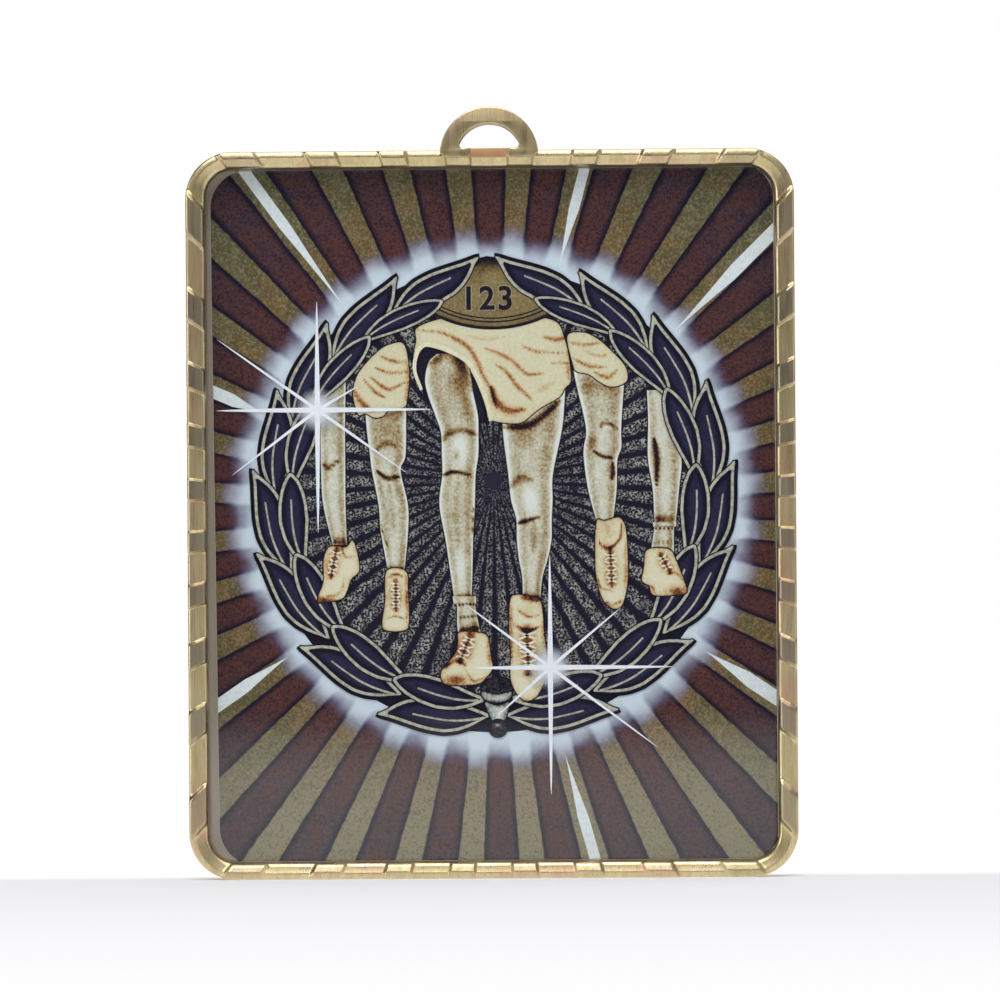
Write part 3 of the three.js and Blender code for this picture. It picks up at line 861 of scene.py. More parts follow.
shorts = {
    "left": {"outline": [(-8.4, 16.7), (-7.9, 14.0), (-8.1, 11.3), (-8.5, 10.4), (-9.9, 10.2), (-10.5, 9.6),
                         (-11.4, 9.4), (-12.3, 9.8), (-13.1, 9.8), (-13.6, 12.0), (-13.0, 14.0),
                         (-11.2, 16.0), (-9.8, 16.8)],
             "lines": [([(-10.8, 15.5), (-9.5, 15.0), (-8.3, 14.9)], 0.2, 0.45),
                       ([(-11.3, 14.4), (-9.9, 13.9), (-8.1, 14.0)], 0.2, 0.5),
                       ([(-11.8, 13.5), (-10.8, 12.7), (-9.9, 12.3), (-8.5, 12.9)], 0.22, 0.5),
                       ([(-12.4, 13.2), (-11.3, 12.0), (-10.4, 11.5)], 0.2, 0.5),
                       ([(-13.4, 12.2), (-12.6, 10.9), (-11.6, 10.2)], 0.3, 0.55),
                       ([(-8.2, 15.5), (-8.1, 13.0), (-8.3, 11.2)], 0.3, 0.3)]},
    "right": {"outline": [(7.4, 17.4), (7.9, 14.6), (8.3, 13.8), (9.5, 13.5), (10.5, 12.8), (11.5, 12.3),
                          (12.6, 12.4), (13.4, 13.0), (13.2, 14.4), (11.8, 16.0), (10.4, 17.2), (9.0, 17.8)],
              "lines": [([(7.7, 16.7), (9.3, 16.5), (10.6, 16.7)], 0.2, 0.4),
                        ([(8.1, 15.1), (9.7, 14.4), (11.2, 14.3)], 0.22, 0.45),
                        ([(10.1, 13.8), (11.4, 13.3), (12.3, 14.0)], 0.25, 0.45),
                        ([(9.0, 16.0), (10.4, 15.4), (11.6, 15.5)], 0.18, 0.3)]},
    "centre": {"outline": [(-7.2, 18.4), (-7.4, 17.0), (-7.65, 15.4), (-7.4, 13.3), (-6.6, 12.3),
                           (-4.0, 11.6), (-1.4, 10.4), (-0.2, 9.2), (1.0, 8.85), (2.2, 8.75), (3.2, 8.95),
                           (4.8, 10.2), (6.7, 11.3), (7.3, 12.2), (7.9, 13.0), (7.7, 15.4), (7.3, 17.1),
                           (6.5, 18.8), (4.0, 19.4), (0.0, 19.4), (-4.0, 19.4)],
               "lines": [([(-6.9, 18.0), (-4.9, 17.8), (-3.5, 17.2), (-2.3, 16.4), (-1.4, 15.1), (-0.8, 13.6),
                           (0.0, 12.2), (0.5, 10.4)], 0.24, 0.55),
                         ([(-0.6, 16.2), (0.6, 15.8), (1.9, 15.1), (3.1, 14.0), (3.7, 13.65), (5.1, 13.7)],
                          0.22, 0.5),
                         ([(0.5, 14.6), (1.5, 13.9), (2.4, 12.7), (3.5, 11.6), (4.0, 11.1)], 0.22, 0.5),
                         ([(3.1, 16.4), (4.4, 15.9), (7.0, 15.7)], 0.18, 0.45),
                         ([(5.1, 17.3), (6.3, 17.0), (7.3, 17.2)], 0.25, 0.5),
                         ([(5.9, 14.7), (7.4, 14.75)], 0.16, 0.4),
                         ([(0.1, 12.4), (0.5, 11.0), (1.7, 10.1), (3.2, 10.2)], 0.45, 0.6),
                         ([(-2.4, 17.5), (-0.6, 17.1), (1.3, 17.3)], 0.18, 0.2),
                         ([(4.5, 11.9), (6.0, 12.8)], 0.3, 0.2),
                         ([(7.5, 16.0), (7.6, 14.6), (7.5, 13.2)], 0.25, 0.3)]},
}
for name, places in (("outer", ("left", "right")), ("centre", ("centre",))):
    drawing = Drawing()
    for place in places:
        at = level["shorts" if place == "centre" else "farShorts"]
        drawing.blob(smoothThrough(shorts[place]["outline"], 12, closed=True), at, shade(shorts[place]),
                     rings=44)
    drawing.piece(f"printed_{name}_shorts", cloth)

# the dark inside of the lifted leg of the shorts, and the pale hem round it
hollow = {"outline": [(-6.9, 12.5), (-7.3, 14.2), (-7.2, 15.3), (-6.8, 16.1), (-6.1, 16.4), (-4.2, 15.8),
                      (-2.6, 14.8), (-1.7, 13.5), (-0.9, 11.6), (-0.4, 9.9), (-0.5, 9.0), (-1.3, 9.0),
                      (-4.0, 9.8), (-5.9, 10.8)],
          "tone": 0.75, "rim": 0.2, "middle": (-3.6, 12.5)}
hem = {"line": [(-6.8, 12.2), (-7.45, 14.0), (-7.35, 15.4), (-6.9, 16.3), (-6.1, 16.65), (-4.2, 16.05),
                (-2.4, 15.0), (-1.5, 13.7), (-0.65, 11.7), (-0.15, 9.8), (-0.1, 9.1)], "width": 0.42,
       "taper": 0.6}
hollowStops = [(0.0, "#6b5f60"), (0.5, "#332b3a"), (0.8, "#201c2e"), (1.0, "#191628")]
drawing = Drawing()
drawing.blob(smoothThrough(hollow["outline"], 6, closed=True), level["hollow"], shade(hollow), rings=14,
             middle=hollow["middle"])
drawing.piece("printed_shorts_hollow", figurePrint("printed deep shade", hollowStops))
drawing = Drawing()
drawing.stroke(hem["line"], hem["width"], level["hem"], taper=hem["taper"])
drawing.piece("printed_hem", plainInk("printed pale hem", "#f0ebce", "#e5dfbc"))
print("legs and shorts printed")


# shoes: pale criss-cross laces over the dark gap between the eyelets

def laces(x, y, wide, tall, lean, rows):
    c, s = math.cos(math.radians(lean)), math.sin(math.radians(lean))

    def place(side, share):  # share 0 at the top, 1 at the toe
        px, py = side * wide * (1 - 0.25 * share), tall * (0.5 - share)
        return x + c * px - s * py, y + s * px + c * py

    crossings = [[place(side, row / rows), place(-side, (row + 0.8) / rows)]
                 for row in range(rows) for side in (-1, 1)]
    middle = [place(0, share) for share in (-0.1, 0.5, 1.05)]
    return {"crossings": crossings, "gap": (middle, 1.05 * wide, 0.75)}


shoes = {
    "outer": [
        {"outline": [(-14.3, -3.0), (-13.7, -2.3), (-13.2, -3.2), (-12.9, -5.4), (-13.7, -6.3), (-14.1, -7.4),
                     (-14.6, -8.2), (-15.8, -8.5), (-17.1, -8.6), (-17.1, -7.8), (-16.6, -6.4), (-16.6, -4.4),
                     (-16.1, -3.1), (-15.3, -2.9)],
         "lines": [([(-14.5, -6.2), (-14.9, -7.6), (-16.2, -7.9)], 0.16, 0.4),
                   ([(-14.7, -3.0), (-14.4, -4.0), (-13.5, -4.1)], 0.16, 0.5)],
         "patches": [((-16.6, -8.3), (1.0, 0.35), 0.6)],
         "laces": laces(-15.5, -4.7, 0.55, 2.5, -12, 3)},
        {"outline": [(-10.4, -5.4), (-8.4, -5.4), (-8.15, -7.4), (-8.1, -10.7), (-8.7, -11.4), (-10.3, -11.4),
                     (-10.9, -10.8), (-10.6, -8.4)],
         "lines": [([(-8.5, -6.0), (-8.4, -8.0), (-8.4, -10.4)], 0.2, 0.35),
                   ([(-10.2, -6.1), (-9.4, -5.8), (-8.7, -6.1)], 0.16, 0.8),
                   ([(-10.4, -10.2), (-9.5, -9.9), (-8.6, -10.2)], 0.14, 0.5)],
         "laces": laces(-9.45, -7.9, 0.5, 2.6, 0, 4)},
        {"outline": [(10.1, -0.8), (9.95, -5.0), (10.25, -7.2), (10.85, -8.7), (11.8, -9.4), (12.7, -9.1),
                     (13.2, -7.4), (13.35, -5.4), (13.2, -1.8), (12.8, -0.6), (12.2, -0.3), (11.0, -0.6)],
         "lines": [([(10.3, -2.8), (11.4, -3.4), (12.5, -2.4), (12.6, -0.9)], 0.16, 0.8),
                   ([(10.2, -6.0), (10.6, -7.2), (11.8, -7.6)], 0.14, 0.4),
                   ([(11.0, -8.6), (11.8, -8.9), (12.5, -8.6)], 0.12, 0.6),
                   ([(13.0, -3.0), (13.0, -5.5), (12.9, -7.0)], 0.2, 0.35)],
         "patches": [((11.3, -1.8), (0.8, 1.0), 0.25), ((11.4, -3.2), (0.7, 0.3), 0.3)],
         "laces": laces(11.6, -5.4, 0.62, 3.0, 2, 4)},
        {"outline": [(14.9, -3.7), (15.9, -3.3), (17.4, -3.5), (18.0, -4.5), (18.8, -6.6), (19.05, -7.8),
                     (18.0, -8.1), (15.7, -8.1), (15.2, -7.2), (14.5, -6.6), (14.7, -5.3)],
         "lines": [([(17.0, -6.0), (17.9, -5.9), (18.6, -6.6)], 0.14, 0.45),
                   ([(15.0, -7.0), (15.6, -7.2), (15.9, -7.9)], 0.14, 0.4)],
         "patches": [((18.1, -7.6), (1.0, 0.5), 0.6)],
         "laces": laces(16.9, -4.9, 0.55, 1.7, 28, 2)},
    ],
    "centre": [
        {"outline": [(-3.3, -11.4), (-1.0, -11.5), (-0.35, -12.1), (-0.1, -13.9), (0.05, -15.1),
                     (-0.6, -16.0), (-1.3, -16.6), (-2.9, -16.8), (-4.7, -16.65), (-5.2, -15.9),
                     (-5.0, -15.0), (-4.3, -14.2), (-3.7, -13.4), (-3.5, -12.4)],
         "lines": [([(-4.9, -15.0), (-3.7, -14.3), (-2.6, -14.8)], 0.22, 0.5),
                   ([(-2.8, -14.9), (-2.0, -16.2), (-0.8, -16.0)], 0.16, 0.4),
                   ([(-0.5, -12.4), (-0.4, -14.0), (-0.3, -15.2)], 0.2, 0.3)],
         "patches": [((-3.7, -16.1), (1.2, 0.5), 0.6), ((-4.6, -14.9), (0.4, 0.4), 0.3)],
         "laces": laces(-2.7, -13.1, 0.72, 2.5, -22, 3)},
        {"outline": [(2.1, -7.8), (1.6, -8.5), (1.5, -11.4), (1.65, -13.5), (1.6, -16.0), (2.1, -17.4),
                     (2.7, -18.1), (3.4, -18.35), (4.4, -17.8), (5.2, -16.0), (5.3, -13.5), (5.1, -11.4),
                     (4.95, -9.3), (4.6, -8.2), (3.5, -7.9)],
         "lines": [([(2.3, -9.2), (3.4, -10.0), (4.6, -9.9)], 0.14, 0.6),
                   ([(2.0, -10.7), (3.3, -11.4), (4.6, -11.0)], 0.2, 0.75),
                   ([(1.8, -9.0), (1.8, -11.5), (1.9, -14.5)], 0.25, 0.4),
                   ([(2.8, -8.0), (3.8, -8.3), (4.7, -8.4)], 0.35, 0.8),
                   ([(5.0, -10.5), (5.0, -13.0)], 0.2, 0.35)],
         "patches": [((3.5, -15.7), (0.55, 0.2), 0.7), ((3.4, -9.4), (1.0, 0.6), 0.15)],
         "laces": laces(3.4, -13.3, 0.9, 3.6, 2, 4)},
    ],
}
inkLines = Drawing()
for name, pairs in shoes.items():
    drawing = Drawing()
    for shoe in pairs:
        marks = {"tone": 0.0, "rim": 0.55, **shoe, "lines": [*shoe["lines"], shoe["laces"]["gap"]]}
        drawing.blob(smoothThrough(shoe["outline"], 8, closed=True), level["shoes"], shade(marks), rings=24)
        for line in shoe["laces"]["crossings"]:
            inkLines.stroke(line, 0.24, level["ink"], taper=0.6)
    drawing.piece(f"printed_{name}_shoes", cloth)
inkLines.piece("printed_laces", plainInk("printed pale lace", "#efe6d0", "#d8c8a6"))
print("shoes printed")


# the bib plate at the top, with a plain number

bib = {
    "arcCentre": (0.2, 30.6), "arcRadius": 12.4, "arcDegrees": (235, 305), "borderDegrees": (236, 304),
    "top": [(4.6, 22.4), (2.4, 24.0), (1.0, 25.0), (-0.6, 25.0), (-2.0, 24.0), (-4.2, 22.4)],
    "border": ((12.4, 0.3), (11.8, 0.16), (11.45, 0.14)),  # radius and width of each line
    "tone": 0.3, "shadow": [((0.2, 24.9), (2.2, 0.9), 0.6)],
    "number": "123", "numberHeight": 2.3, "numberAt": (-0.35, 21.0), "narrowed": 0.98, "spacing": 1.15,
}


def bibArc(radius, steps, degrees):
    return circlePoints(bib["arcCentre"], radius, steps, *(math.radians(d) for d in degrees))


def bibTone(x, y, edge):
    return bib["tone"] + 0.2 * np.exp(-edge / 0.5) + marked(x, y, (), bib["shadow"])


drawing = Drawing()
outline = np.concatenate([bibArc(bib["arcRadius"], 33, bib["arcDegrees"]), bib["top"]])
drawing.blob(outline, level["bib"], bibTone, rings=14)
drawing.piece("printed_bib_plate", figurePrint("printed bronze plate", plateStops))
drawing = Drawing()
for radius, width in bib["border"]:
    drawing.stroke(bibArc(radius, 17, bib["borderDegrees"]), width, level["number"] - 0.004, taper=1)
drawing.piece("printed_bib_border", darkInk)


capHeight = 0.72  # of the letters' size, in the built-in font


def buildNumber(name, material, swell, at):  # swell thickens the figures' strokes
    text = bpy.data.curves.new(name, "FONT")
    text.body, text.align_x, text.align_y = bib["number"], "CENTER", "CENTER"
    text.size, text.offset = bib["numberHeight"] / capHeight, swell
    text.space_character = bib["spacing"]
    text.extrude = inkThickness / 2
    holder = bpy.data.objects.new(name, text)
    mesh = bpy.data.meshes.new_from_object(holder)
    bpy.data.objects.remove(holder)
    work = bmesh.new()
    work.from_mesh(mesh)
    bmesh.ops.remove_doubles(work, verts=work.verts, dist=1e-5)
    drawing = Drawing()
    points = np.array([v.co for v in work.verts]) * [bib["narrowed"], 1, 1] + [*bib["numberAt"], at]
    drawing.add(points, [tuple(v.index for v in f.verts) for f in work.faces])
    work.free()
    drawing.piece(name, material)


buildNumber("printed_number_edge", plainInk("printed pale edge", "#aaa58c", "#8f8a74"), 0.16, level["number"])
buildNumber("printed_number", darkInk, 0.07, level["number"] + 0.006)
print("bib plate printed")


# the wreath: one leaf turned round the wreath's centre by Geometry Nodes, for each row and branch

# edges are (share of the leaf from tip to base, inner radius, outer radius), and angles are in degrees
leafRows = {
    "outer": {"span": 28.0, "tip": 24.0, "count": 8, "extraAfter": 5.0, "lean": 4.6, "leanStep": 2.0,
              "width": 1.0, "widthStep": 0.0,
              "edges": [(0, 23.75, 24.15), (0.05, 22.95, 24.12), (0.1, 22.05, 23.98), (0.18, 21.2, 23.86),
                        (0.28, 20.6, 23.8), (0.45, 20.2, 23.76), (0.6, 20.1, 23.6), (0.72, 20.1, 23.2),
                        (0.83, 20.3, 22.6), (0.93, 20.6, 21.9), (1, 20.9, 21.3)]},
    "inner": {"span": 27.0, "tip": 20.1, "count": 7, "extraAfter": 9.0, "lean": 0.0, "leanStep": 0.0,
              "width": 0.76, "widthStep": 0.09,
              "edges": [(0, 19.95, 20.2), (0.04, 19.3, 20.5), (0.1, 18.9, 20.72), (0.2, 18.45, 20.98),
                        (0.34, 18.15, 21.18), (0.52, 18.1, 21.25), (0.7, 18.4, 21.0), (0.85, 18.8, 20.5),
                        (1, 19.2, 19.8)]},
}
branches = {  # first tip, step from tip to tip, and the extra step near the foot
    "left": {"side": 1, "outer": (93.0, 19.8, 4.6), "inner": (103.7, 22.7, 0.0)},
    "right": {"side": -1, "outer": (90.5, 20.1, 4.1), "inner": (101.5, 22.8, 0.0)},
}


def leafMesh(row, side):  # the leaf's tip is its origin, and the wreath's centre lies to the left of it
    edges = np.array(row["edges"])
    v = np.linspace(0, 1, 61)
    inner = np.interp(v, edges[:, 0], edges[:, 1])
    outer = np.interp(v, edges[:, 0], edges[:, 2])
    smooth = np.array([1, 2, 3, 2, 1]) / 9
    inner, outer = (np.convolve(np.pad(r, 2, mode="edge"), smooth, "valid")[:, None] for r in (inner, outer))
    u = np.linspace(0, 1, 25)[None, :]
    radius, angle = inner + (outer - inner) * u, np.radians(v * row["span"])[:, None]
    x, y = radius * np.cos(angle) - row["tip"], radius * np.sin(angle)
    rim = np.concatenate([np.stack([x[:, 0], y[:, 0]], 1), np.stack([x[-1, 1:], y[-1, 1:]], 1),
                          np.stack([x[-2::-1, -1], y[-2::-1, -1]], 1),
                          np.stack([x[0, -2:0:-1], y[0, -2:0:-1]], 1)])
    edge = outlineDistance(np.stack([x.ravel(), y.ravel()], 1), rim).reshape(x.shape)
    contour = 0.12 + (0.26 * np.clip((u - 0.45) / 0.25, 0, 1) if row is leafRows["outer"] else 0)
    veinEnd = (v[:, None] > 0.28) & (v[:, None] < 0.95)
    vein = np.where(veinEnd, np.abs(u - 0.55) * (outer - inner) - 0.04 * (v[:, None] - 0.4), 9.0)
    leaf = Drawing()
    leaf.sheet(x * side, y, 0.0, edge=edge - contour, vein=vein)
    points = np.array(leaf.points)
    mesh = bpy.data.meshes.new("leaf")
    mesh.from_pydata((np.stack([points[:, 0], -points[:, 2], points[:, 1]], 1) * mm).tolist(), [], leaf.faces)
    for key in ("edge", "vein"):
        store = mesh.attributes.new(key, "FLOAT", "POINT")
        store.data.foreach_set("value", np.asarray(leaf.values[key], np.float32))
    facesOut(mesh)
    return bpy.data.objects.new("leaf", mesh)


def leafTree(leaf, material):
    tree = bpy.data.node_groups.new("leaves round a centre", "GeometryNodeTree")
    tree.interface.new_socket("Geometry", in_out="OUTPUT", socket_type="NodeSocketGeometry")
    sockets = {}
    for name in ("Count", "Side", "Arm", "First Angle", "Angle Step", "Extra After", "Extra Step",
                 "First Lean", "Lean Step", "First Width", "Width Step", "Level Step", "Centre"):
        kind = {"Count": "NodeSocketInt", "Centre": "NodeSocketVector"}.get(name, "NodeSocketFloat")
        sockets[name] = tree.interface.new_socket(name, in_out="INPUT", socket_type=kind).identifier
    given = addNode(tree, "NodeGroupInput").outputs
    index = addNode(tree, "GeometryNodeInputIndex").outputs[0]

    def stepped(first, step, n=index):
        rise = addNode(tree, mathNode, {0: step, 1: n}, operation="MULTIPLY")
        return addNode(tree, mathNode, {0: first, 1: rise}, operation="ADD")

    beyond = addNode(tree, mathNode, {0: index, 1: given["Extra After"]}, operation="SUBTRACT")
    past = addNode(tree, mathNode, {0: beyond, 1: 0.0}, operation="MAXIMUM")
    even = stepped(given["First Angle"], given["Angle Step"])
    turned = stepped(even, given["Extra Step"], past)
    angle = addNode(tree, mathNode, {0: given["Side"], 1: turned}, operation="MULTIPLY")
    leanBack = addNode(tree, mathNode, {0: given["Lean Step"], 1: -1.0}, operation="MULTIPLY")
    leaning = stepped(given["First Lean"], leanBack)
    leanOut = addNode(tree, mathNode, {0: leaning, 1: 0.0}, operation="MAXIMUM")
    lean = addNode(tree, mathNode, {0: given["Side"], 1: leanOut}, operation="MULTIPLY")
    arm = addNode(tree, mathNode, {0: given["Side"], 1: given["Arm"]}, operation="MULTIPLY")
    cosine = addNode(tree, mathNode, {0: angle}, operation="COSINE")
    sine = addNode(tree, mathNode, {0: angle}, operation="SINE")
    reach = addNode(tree, "ShaderNodeCombineXYZ", {
        "X": addNode(tree, mathNode, {0: arm, 1: cosine}, operation="MULTIPLY"),
        "Y": addNode(tree, mathNode, {0: index, 1: given["Level Step"]}, operation="MULTIPLY"),
        "Z": addNode(tree, mathNode, {0: arm, 1: sine}, operation="MULTIPLY")})
    place = addNode(tree, "ShaderNodeVectorMath", {0: reach, 1: given["Centre"]}, operation="ADD")
    tilted = addNode(tree, mathNode, {0: angle, 1: lean}, operation="ADD")
    turn = addNode(tree, mathNode, {0: tilted, 1: -1.0}, operation="MULTIPLY")
    rotation = addNode(tree, "ShaderNodeCombineXYZ", {"Y": turn})
    widening = stepped(given["First Width"], given["Width Step"])
    width = addNode(tree, mathNode, {0: widening, 1: 1.0}, operation="MINIMUM")
    scale = addNode(tree, "ShaderNodeCombineXYZ", {"X": width, "Y": 1.0, "Z": 1.0})
    points = addNode(tree, "GeometryNodePoints", {"Count": given["Count"], "Position": place})
    source = addNode(tree, "GeometryNodeObjectInfo", {"Object": leaf}).outputs["Geometry"]
    placed = addNode(tree, "GeometryNodeInstanceOnPoints", {
        "Points": points, "Instance": source, "Rotation": rotation, "Scale": scale})
    real = addNode(tree, "GeometryNodeRealizeInstances", {"Geometry": placed})
    painted = addNode(tree, "GeometryNodeSetMaterial", {"Geometry": real, "Material": material})
    addNode(tree, "NodeGroupOutput", {"Geometry": painted})
    return tree, sockets


def growLeaves(row, branch, angles, firstLevel, material):
    leaf = leafMesh(row, branch["side"])
    tree, sockets = leafTree(leaf, material)
    holder = bpy.data.objects.new("branch", bpy.data.meshes.new("branch"))
    bpy.context.scene.collection.objects.link(holder)
    grow = holder.modifiers.new("leaves", "NODES")
    grow.node_group = tree
    first, step, extra = (math.radians(a) for a in angles)
    settings = {
        "Count": row["count"], "Side": float(branch["side"]), "Arm": row["tip"] * mm,
        "First Angle": first, "Angle Step": step, "Extra After": row["extraAfter"], "Extra Step": extra,
        "First Lean": math.radians(row["lean"]), "Lean Step": math.radians(row["leanStep"]),
        "First Width": row["width"], "Width Step": row["widthStep"], "Level Step": -0.004 * mm,
        "Centre": stand([(*wreathCentre, firstLevel)])[0].tolist()}
    for name, value in settings.items():
        grow[sockets[name]] = value
    bpy.context.view_layer.update()
    mesh = bpy.data.meshes.new_from_object(holder.evaluated_get(bpy.context.evaluated_depsgraph_get()))
    bpy.data.objects.remove(holder)
    bpy.data.objects.remove(leaf)
    return mesh


def buildWreath(material):
    for name, branch in branches.items():
        for kind, row in leafRows.items():
            mesh = growLeaves(row, branch, branch[kind], level[f"{kind}Leaves"], material)
            made = bpy.data.objects.new(f"printed_{name}_branch_{kind}_leaves", mesh)
            bpy.context.scene.collection.objects.link(made)
            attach(made, "root")


buildWreath(leafPrint())
print("wreath printed")

# the tie at the foot of the wreath: a dark cap, a pale band, a vase and a ball
tie = [
    {"outline": [(-1.2, -17.3), (-1.0, -16.4), (0.4, -15.8), (1.7, -16.2), (1.9, -17.3), (0.4, -17.7)],
     "tone": 0.9, "rim": 0.1},
    {"outline": [(-1.2, -17.2), (0.4, -17.5), (1.9, -17.2), (1.7, -18.1), (0.4, -18.5), (-1.0, -18.1)],
     "tone": 0.12, "rim": 0.8},
    {"outline": [(-0.9, -18.2), (0.4, -18.6), (1.7, -18.2), (1.5, -19.4), (1.0, -20.4), (0.0, -20.4),
                 (-0.6, -19.4)], "tone": 0.2, "rim": 0.6,
     "lines": [([(0.9, -18.8), (0.3, -20.2)], 0.25, -0.25)]},
    {"outline": circlePoints((0.45, -20.9), 0.95, 12), "tone": 0.9, "rim": 0.1,
     "patches": [((0.4, -20.6), (0.45, 0.2), -0.5)]},
]
drawing = Drawing()
for i, spec in enumerate(tie):
    drawing.blob(smoothThrough(spec["outline"], 5, closed=True), level["tie"] + 0.0012 * i, shade(spec))
drawing.piece("printed_wreath_tie", figurePrint("printed wreath tie", knotStops))

# sparkles: spikes of white ink, wide along the axes and narrow between them, as (degrees, length)
sparkle = {"wide": 0.26, "narrow": 0.16, "tip": 0.012, "core": 0.55, "halo": 2.6}
sparkles = [
    {"at": (-17.0, 10.3), "arms": ((0, 11.1), (180, 9.9), (90, 10.6), (270, 12.0), (-35.5, 10.6),
                                   (144.5, 12.0), (30, 4.5), (217, 10.5))},
    {"at": (5.6, -15.0), "arms": ((0, 12.0), (180, 7.5), (90, 11.0), (270, 12.4), (40, 9.0), (-37, 13.0),
                                  (143, 10.5), (222, 7.0))},
]
arms, halos = Drawing(), Drawing()
for spec in sparkles:
    x, y = spec["at"]
    for i, (degrees, length) in enumerate(spec["arms"]):
        c, s = math.cos(math.radians(degrees)), math.sin(math.radians(degrees))
        t = np.linspace(0, 1, 12)
        half = sparkle["wide" if degrees % 90 == 0 else "narrow"] * (1 - t) ** 0.6 + sparkle["tip"]
        px, py = x + c * t * length, y + s * t * length
        arms.sheet(np.stack([px + s * half, px - s * half], 1), np.stack([py - c * half, py + c * half], 1),
                   level["sparkle"] + 0.0003 * i)
    arms.blob(circlePoints((x, y), sparkle["core"], 24), level["sparkle"] + 0.003, rings=2)
    halos.blob(circlePoints((x, y), sparkle["halo"], 40), level["halo"], rings=12)
arms.piece("printed_sparkles", plainInk("printed sparkle white", "#f7f9ff", "#f0f3fd"))
halos.piece("printed_sparkle_halos", sparkleHalo())
print("sparkles printed")


# camera, floor and light

studio = {
    "lens": 200.0, "viewWidth": 97.2, "aimRight": 0.84, "aimUp": 1.36,
    "azimuth": 1.0, "elevation": -0.5, "rollDegrees": 0.4,
    "pale": 0.42, "dim": 0.38, "overhead": 1.0, "room": 0.12,
    "left": 0.4, "right": 0.85, "behind": 0.6, "frontCone": (0.975, 0.992),
    "floorReach": 2.5, "mirrorNear": (0.2, 0.98), "mirrorFar": (0.6, 0.06),  # distance and strength
    "whiteFrom": 0.04, "whiteAt": 0.16, "whiteShare": 0.85,
}


def placeCamera():
    data = bpy.data.cameras.new("camera")
    data.lens, data.sensor_width = studio["lens"], 36.0
    data.clip_start, data.clip_end = 0.01, 20.0
    camera = bpy.data.objects.new("camera", data)
    bpy.context.scene.collection.objects.link(camera)
    aim = Vector(stand([(studio["aimRight"], studio["aimUp"], plaque["low"])])[0])
    azimuth, elevation = math.radians(studio["azimuth"]), math.radians(studio["elevation"])
    back = Vector((math.sin(azimuth) * math.cos(elevation), -math.cos(azimuth) * math.cos(elevation),
                   math.sin(elevation)))
    camera.location = aim + back * (studio["viewWidth"] * mm * studio["lens"] / data.sensor_width)
    camera.rotation_euler = (-back).to_track_quat("-Z", "Y").to_euler()
    camera.rotation_euler.rotate_axis("Z", math.radians(-studio["rollDegrees"]))
    bpy.context.scene.camera = camera


def tableTop():
    # A white laminate table: matt, with the medal's soft shadow. Behind the medal, and some way off in
    # front, the eye sees it plain white. A mirror sees it bright close by and dim further off, where the
    # room takes over.
    material, tree, output = newMaterial("white laminate table")
    coords = addNode(tree, "ShaderNodeTexCoord").outputs["Object"]
    depth = addNode(tree, "ShaderNodeSeparateXYZ", {0: coords}).outputs["Y"]
    away = addNode(tree, "ShaderNodeVectorMath", {0: coords}, operation="LENGTH").outputs["Value"]
    path = addNode(tree, "ShaderNodeLightPath").outputs
    matt = addNode(tree, "ShaderNodeBsdfDiffuse", {"Color": ink("#ebeaee")})
    white = addNode(tree, "ShaderNodeEmission", {"Color": (1, 1, 1, 1), "Strength": 1.0})
    (near, bright), (far, dull) = studio["mirrorNear"], studio["mirrorFar"]
    fading = addNode(tree, rangeNode, {
        "Value": away, "From Min": near, "From Max": far, "To Min": bright, "To Max": dull},
        interpolation_type="SMOOTHSTEP")
    mirrored = addNode(tree, "ShaderNodeEmission", {"Color": (1, 1, 1, 1), "Strength": fading})
    seen = addNode(tree, mathNode, {0: path["Is Camera Ray"], 1: path["Is Transmission Ray"]},
                   operation="MAXIMUM")
    distant = addNode(tree, rangeNode, {
        "Value": away, "From Min": studio["whiteFrom"], "From Max": studio["whiteAt"],
        "To Min": 0, "To Max": studio["whiteShare"]}, interpolation_type="SMOOTHSTEP")
    past = addNode(tree, rangeNode, {"Value": depth, "From Min": -0.002, "From Max": 0.004},
                   interpolation_type="SMOOTHSTEP")
    unlit = addNode(tree, mathNode, {0: distant, 1: past}, operation="MAXIMUM")
    behind = addNode(tree, mathNode, {0: seen, 1: unlit}, operation="MULTIPLY")
    plain = addNode(tree, "ShaderNodeMixShader", {0: behind, 1: matt, 2: white})
    both = addNode(tree, "ShaderNodeMixShader", {0: path["Is Glossy Ray"], 1: plain, 2: mirrored})
    tree.links.new(both.outputs[0], output.inputs["Surface"])
    return material


def buildFloor():
    mesh = bpy.data.meshes.new("floor")
    size = studio["floorReach"]
    mesh.from_pydata([(-size, -size, 0), (size, -size, 0), (size, size, 0), (-size, size, 0)], [],
                     [(0, 1, 2, 3)])
    mesh.materials.append(tableTop())
    floor = bpy.data.objects.new("floor", mesh)
    bpy.context.scene.collection.objects.link(floor)


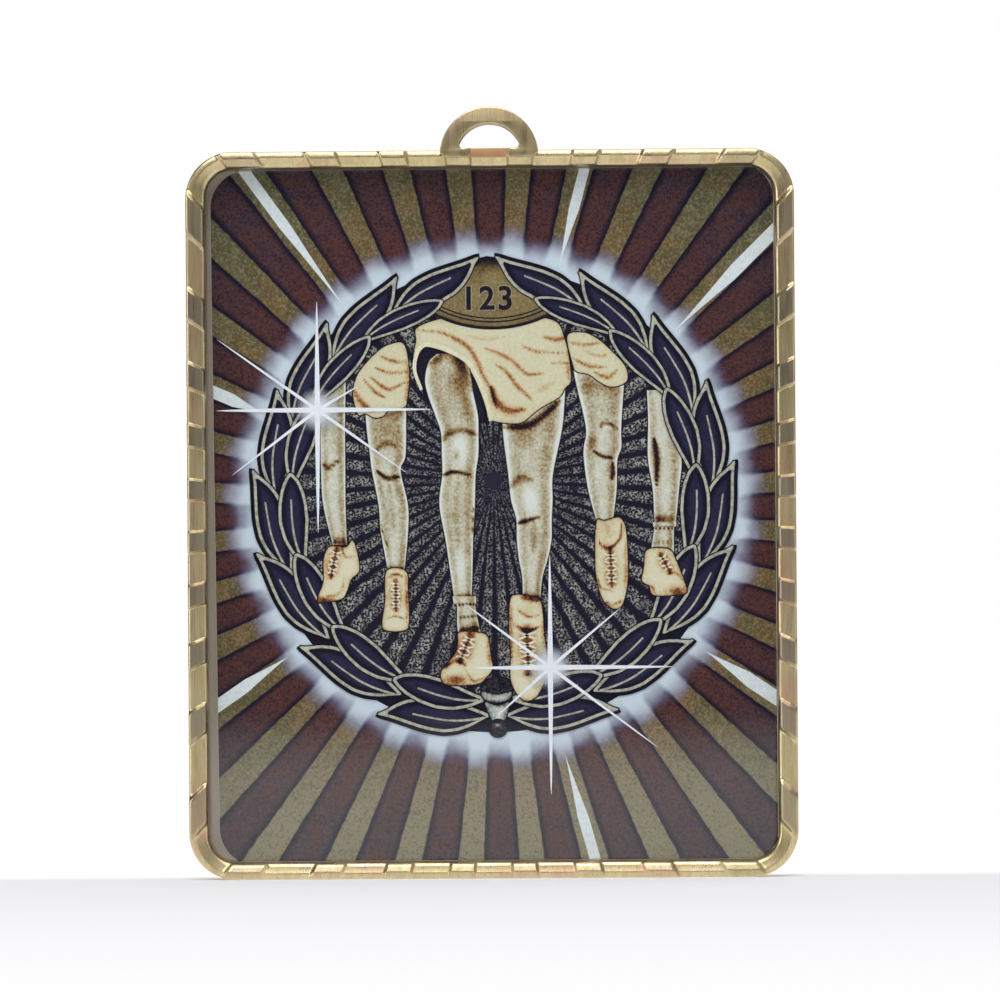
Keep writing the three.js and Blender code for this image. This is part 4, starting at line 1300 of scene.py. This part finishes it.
def lightWorld():
    # White to the eye. What the medal sees is pale near the table, dim above it, bright overhead, darker
    # to the left and behind, and darkest straight in front.
    world = bpy.data.worlds.new("studio")
    world.use_nodes = True
    tree = world.node_tree
    tree.nodes.clear()
    direction = addNode(tree, "ShaderNodeTexCoord").outputs["Generated"]
    x, y, z = addNode(tree, "ShaderNodeSeparateXYZ", {0: direction}).outputs
    walls = addNode(tree, rangeNode, {
        "Value": z, "From Min": 0.0, "From Max": 0.3, "To Min": studio["pale"], "To Max": studio["dim"]},
        interpolation_type="SMOOTHSTEP")
    top = addNode(tree, rangeNode, {
        "Value": z, "From Min": 0.6, "From Max": 0.9, "To Min": 0.0, "To Max": studio["overhead"]},
        interpolation_type="SMOOTHSTEP")
    ceiling = addNode(tree, mathNode, {0: walls, 1: top}, operation="ADD")
    sideways = addNode(tree, rangeNode, {
        "Value": x, "From Min": -0.6, "From Max": -0.1, "To Min": studio["left"], "To Max": studio["right"]},
        interpolation_type="SMOOTHSTEP")
    sides = addNode(tree, mathNode, {0: ceiling, 1: sideways}, operation="MULTIPLY")
    backwards = addNode(tree, rangeNode, {
        "Value": y, "From Min": 0.0, "From Max": 0.6, "To Min": 1.0, "To Max": studio["behind"]},
        interpolation_type="SMOOTHSTEP")
    around = addNode(tree, mathNode, {0: sides, 1: backwards}, operation="MULTIPLY")
    coneEdge, coneCore = studio["frontCone"]
    forward = addNode(tree, mathNode, {0: y, 1: -1.0}, operation="MULTIPLY")
    ahead = addNode(tree, rangeNode, {
        "Value": forward, "From Min": coneEdge, "From Max": coneCore,
        "To Min": 1.0, "To Max": studio["room"]}, interpolation_type="SMOOTHSTEP")
    room = addNode(tree, mathNode, {0: around, 1: ahead}, operation="MULTIPLY")
    path = addNode(tree, "ShaderNodeLightPath").outputs
    seen = addNode(tree, mathNode, {0: path["Is Camera Ray"], 1: path["Is Transmission Ray"]},
                   operation="MAXIMUM")
    strength = addNode(tree, mixNode, {0: seen, 2: room, 3: 1.0}, data_type="FLOAT")
    light = addNode(tree, "ShaderNodeBackground", {"Color": (1, 1, 1, 1), "Strength": strength})
    output = addNode(tree, "ShaderNodeOutputWorld")
    tree.links.new(light.outputs[0], output.inputs["Surface"])
    bpy.context.scene.world = world


lamps = {
    "key softbox": {"at": (-0.08, -0.42, 0.5), "size": 0.4, "power": 1.9},
    "overhead softbox": {"at": (0.0, -0.1, 0.6), "size": 0.5, "power": 0.65},
    "left softbox": {"at": (-0.56, -0.28, 0.1), "size": 0.35, "power": 0.9},
    "right softbox": {"at": (0.56, -0.28, 0.1), "size": 0.35, "power": 0.2},
}


def hangLamps():
    target = Vector((0, 0, plaque["height"] / 2 * mm))
    for name, lamp in lamps.items():
        data = bpy.data.lights.new(name, "AREA")
        data.shape, data.size, data.energy = "SQUARE", lamp["size"], lamp["power"]
        made = bpy.data.objects.new(name, data)
        made.location = lamp["at"]
        made.rotation_euler = (target - made.location).to_track_quat("-Z", "Y").to_euler()
        bpy.context.scene.collection.objects.link(made)


placeCamera()
buildFloor()
lightWorld()
hangLamps()
bpy.context.scene.view_settings.view_transform = "Standard"
print("studio set")
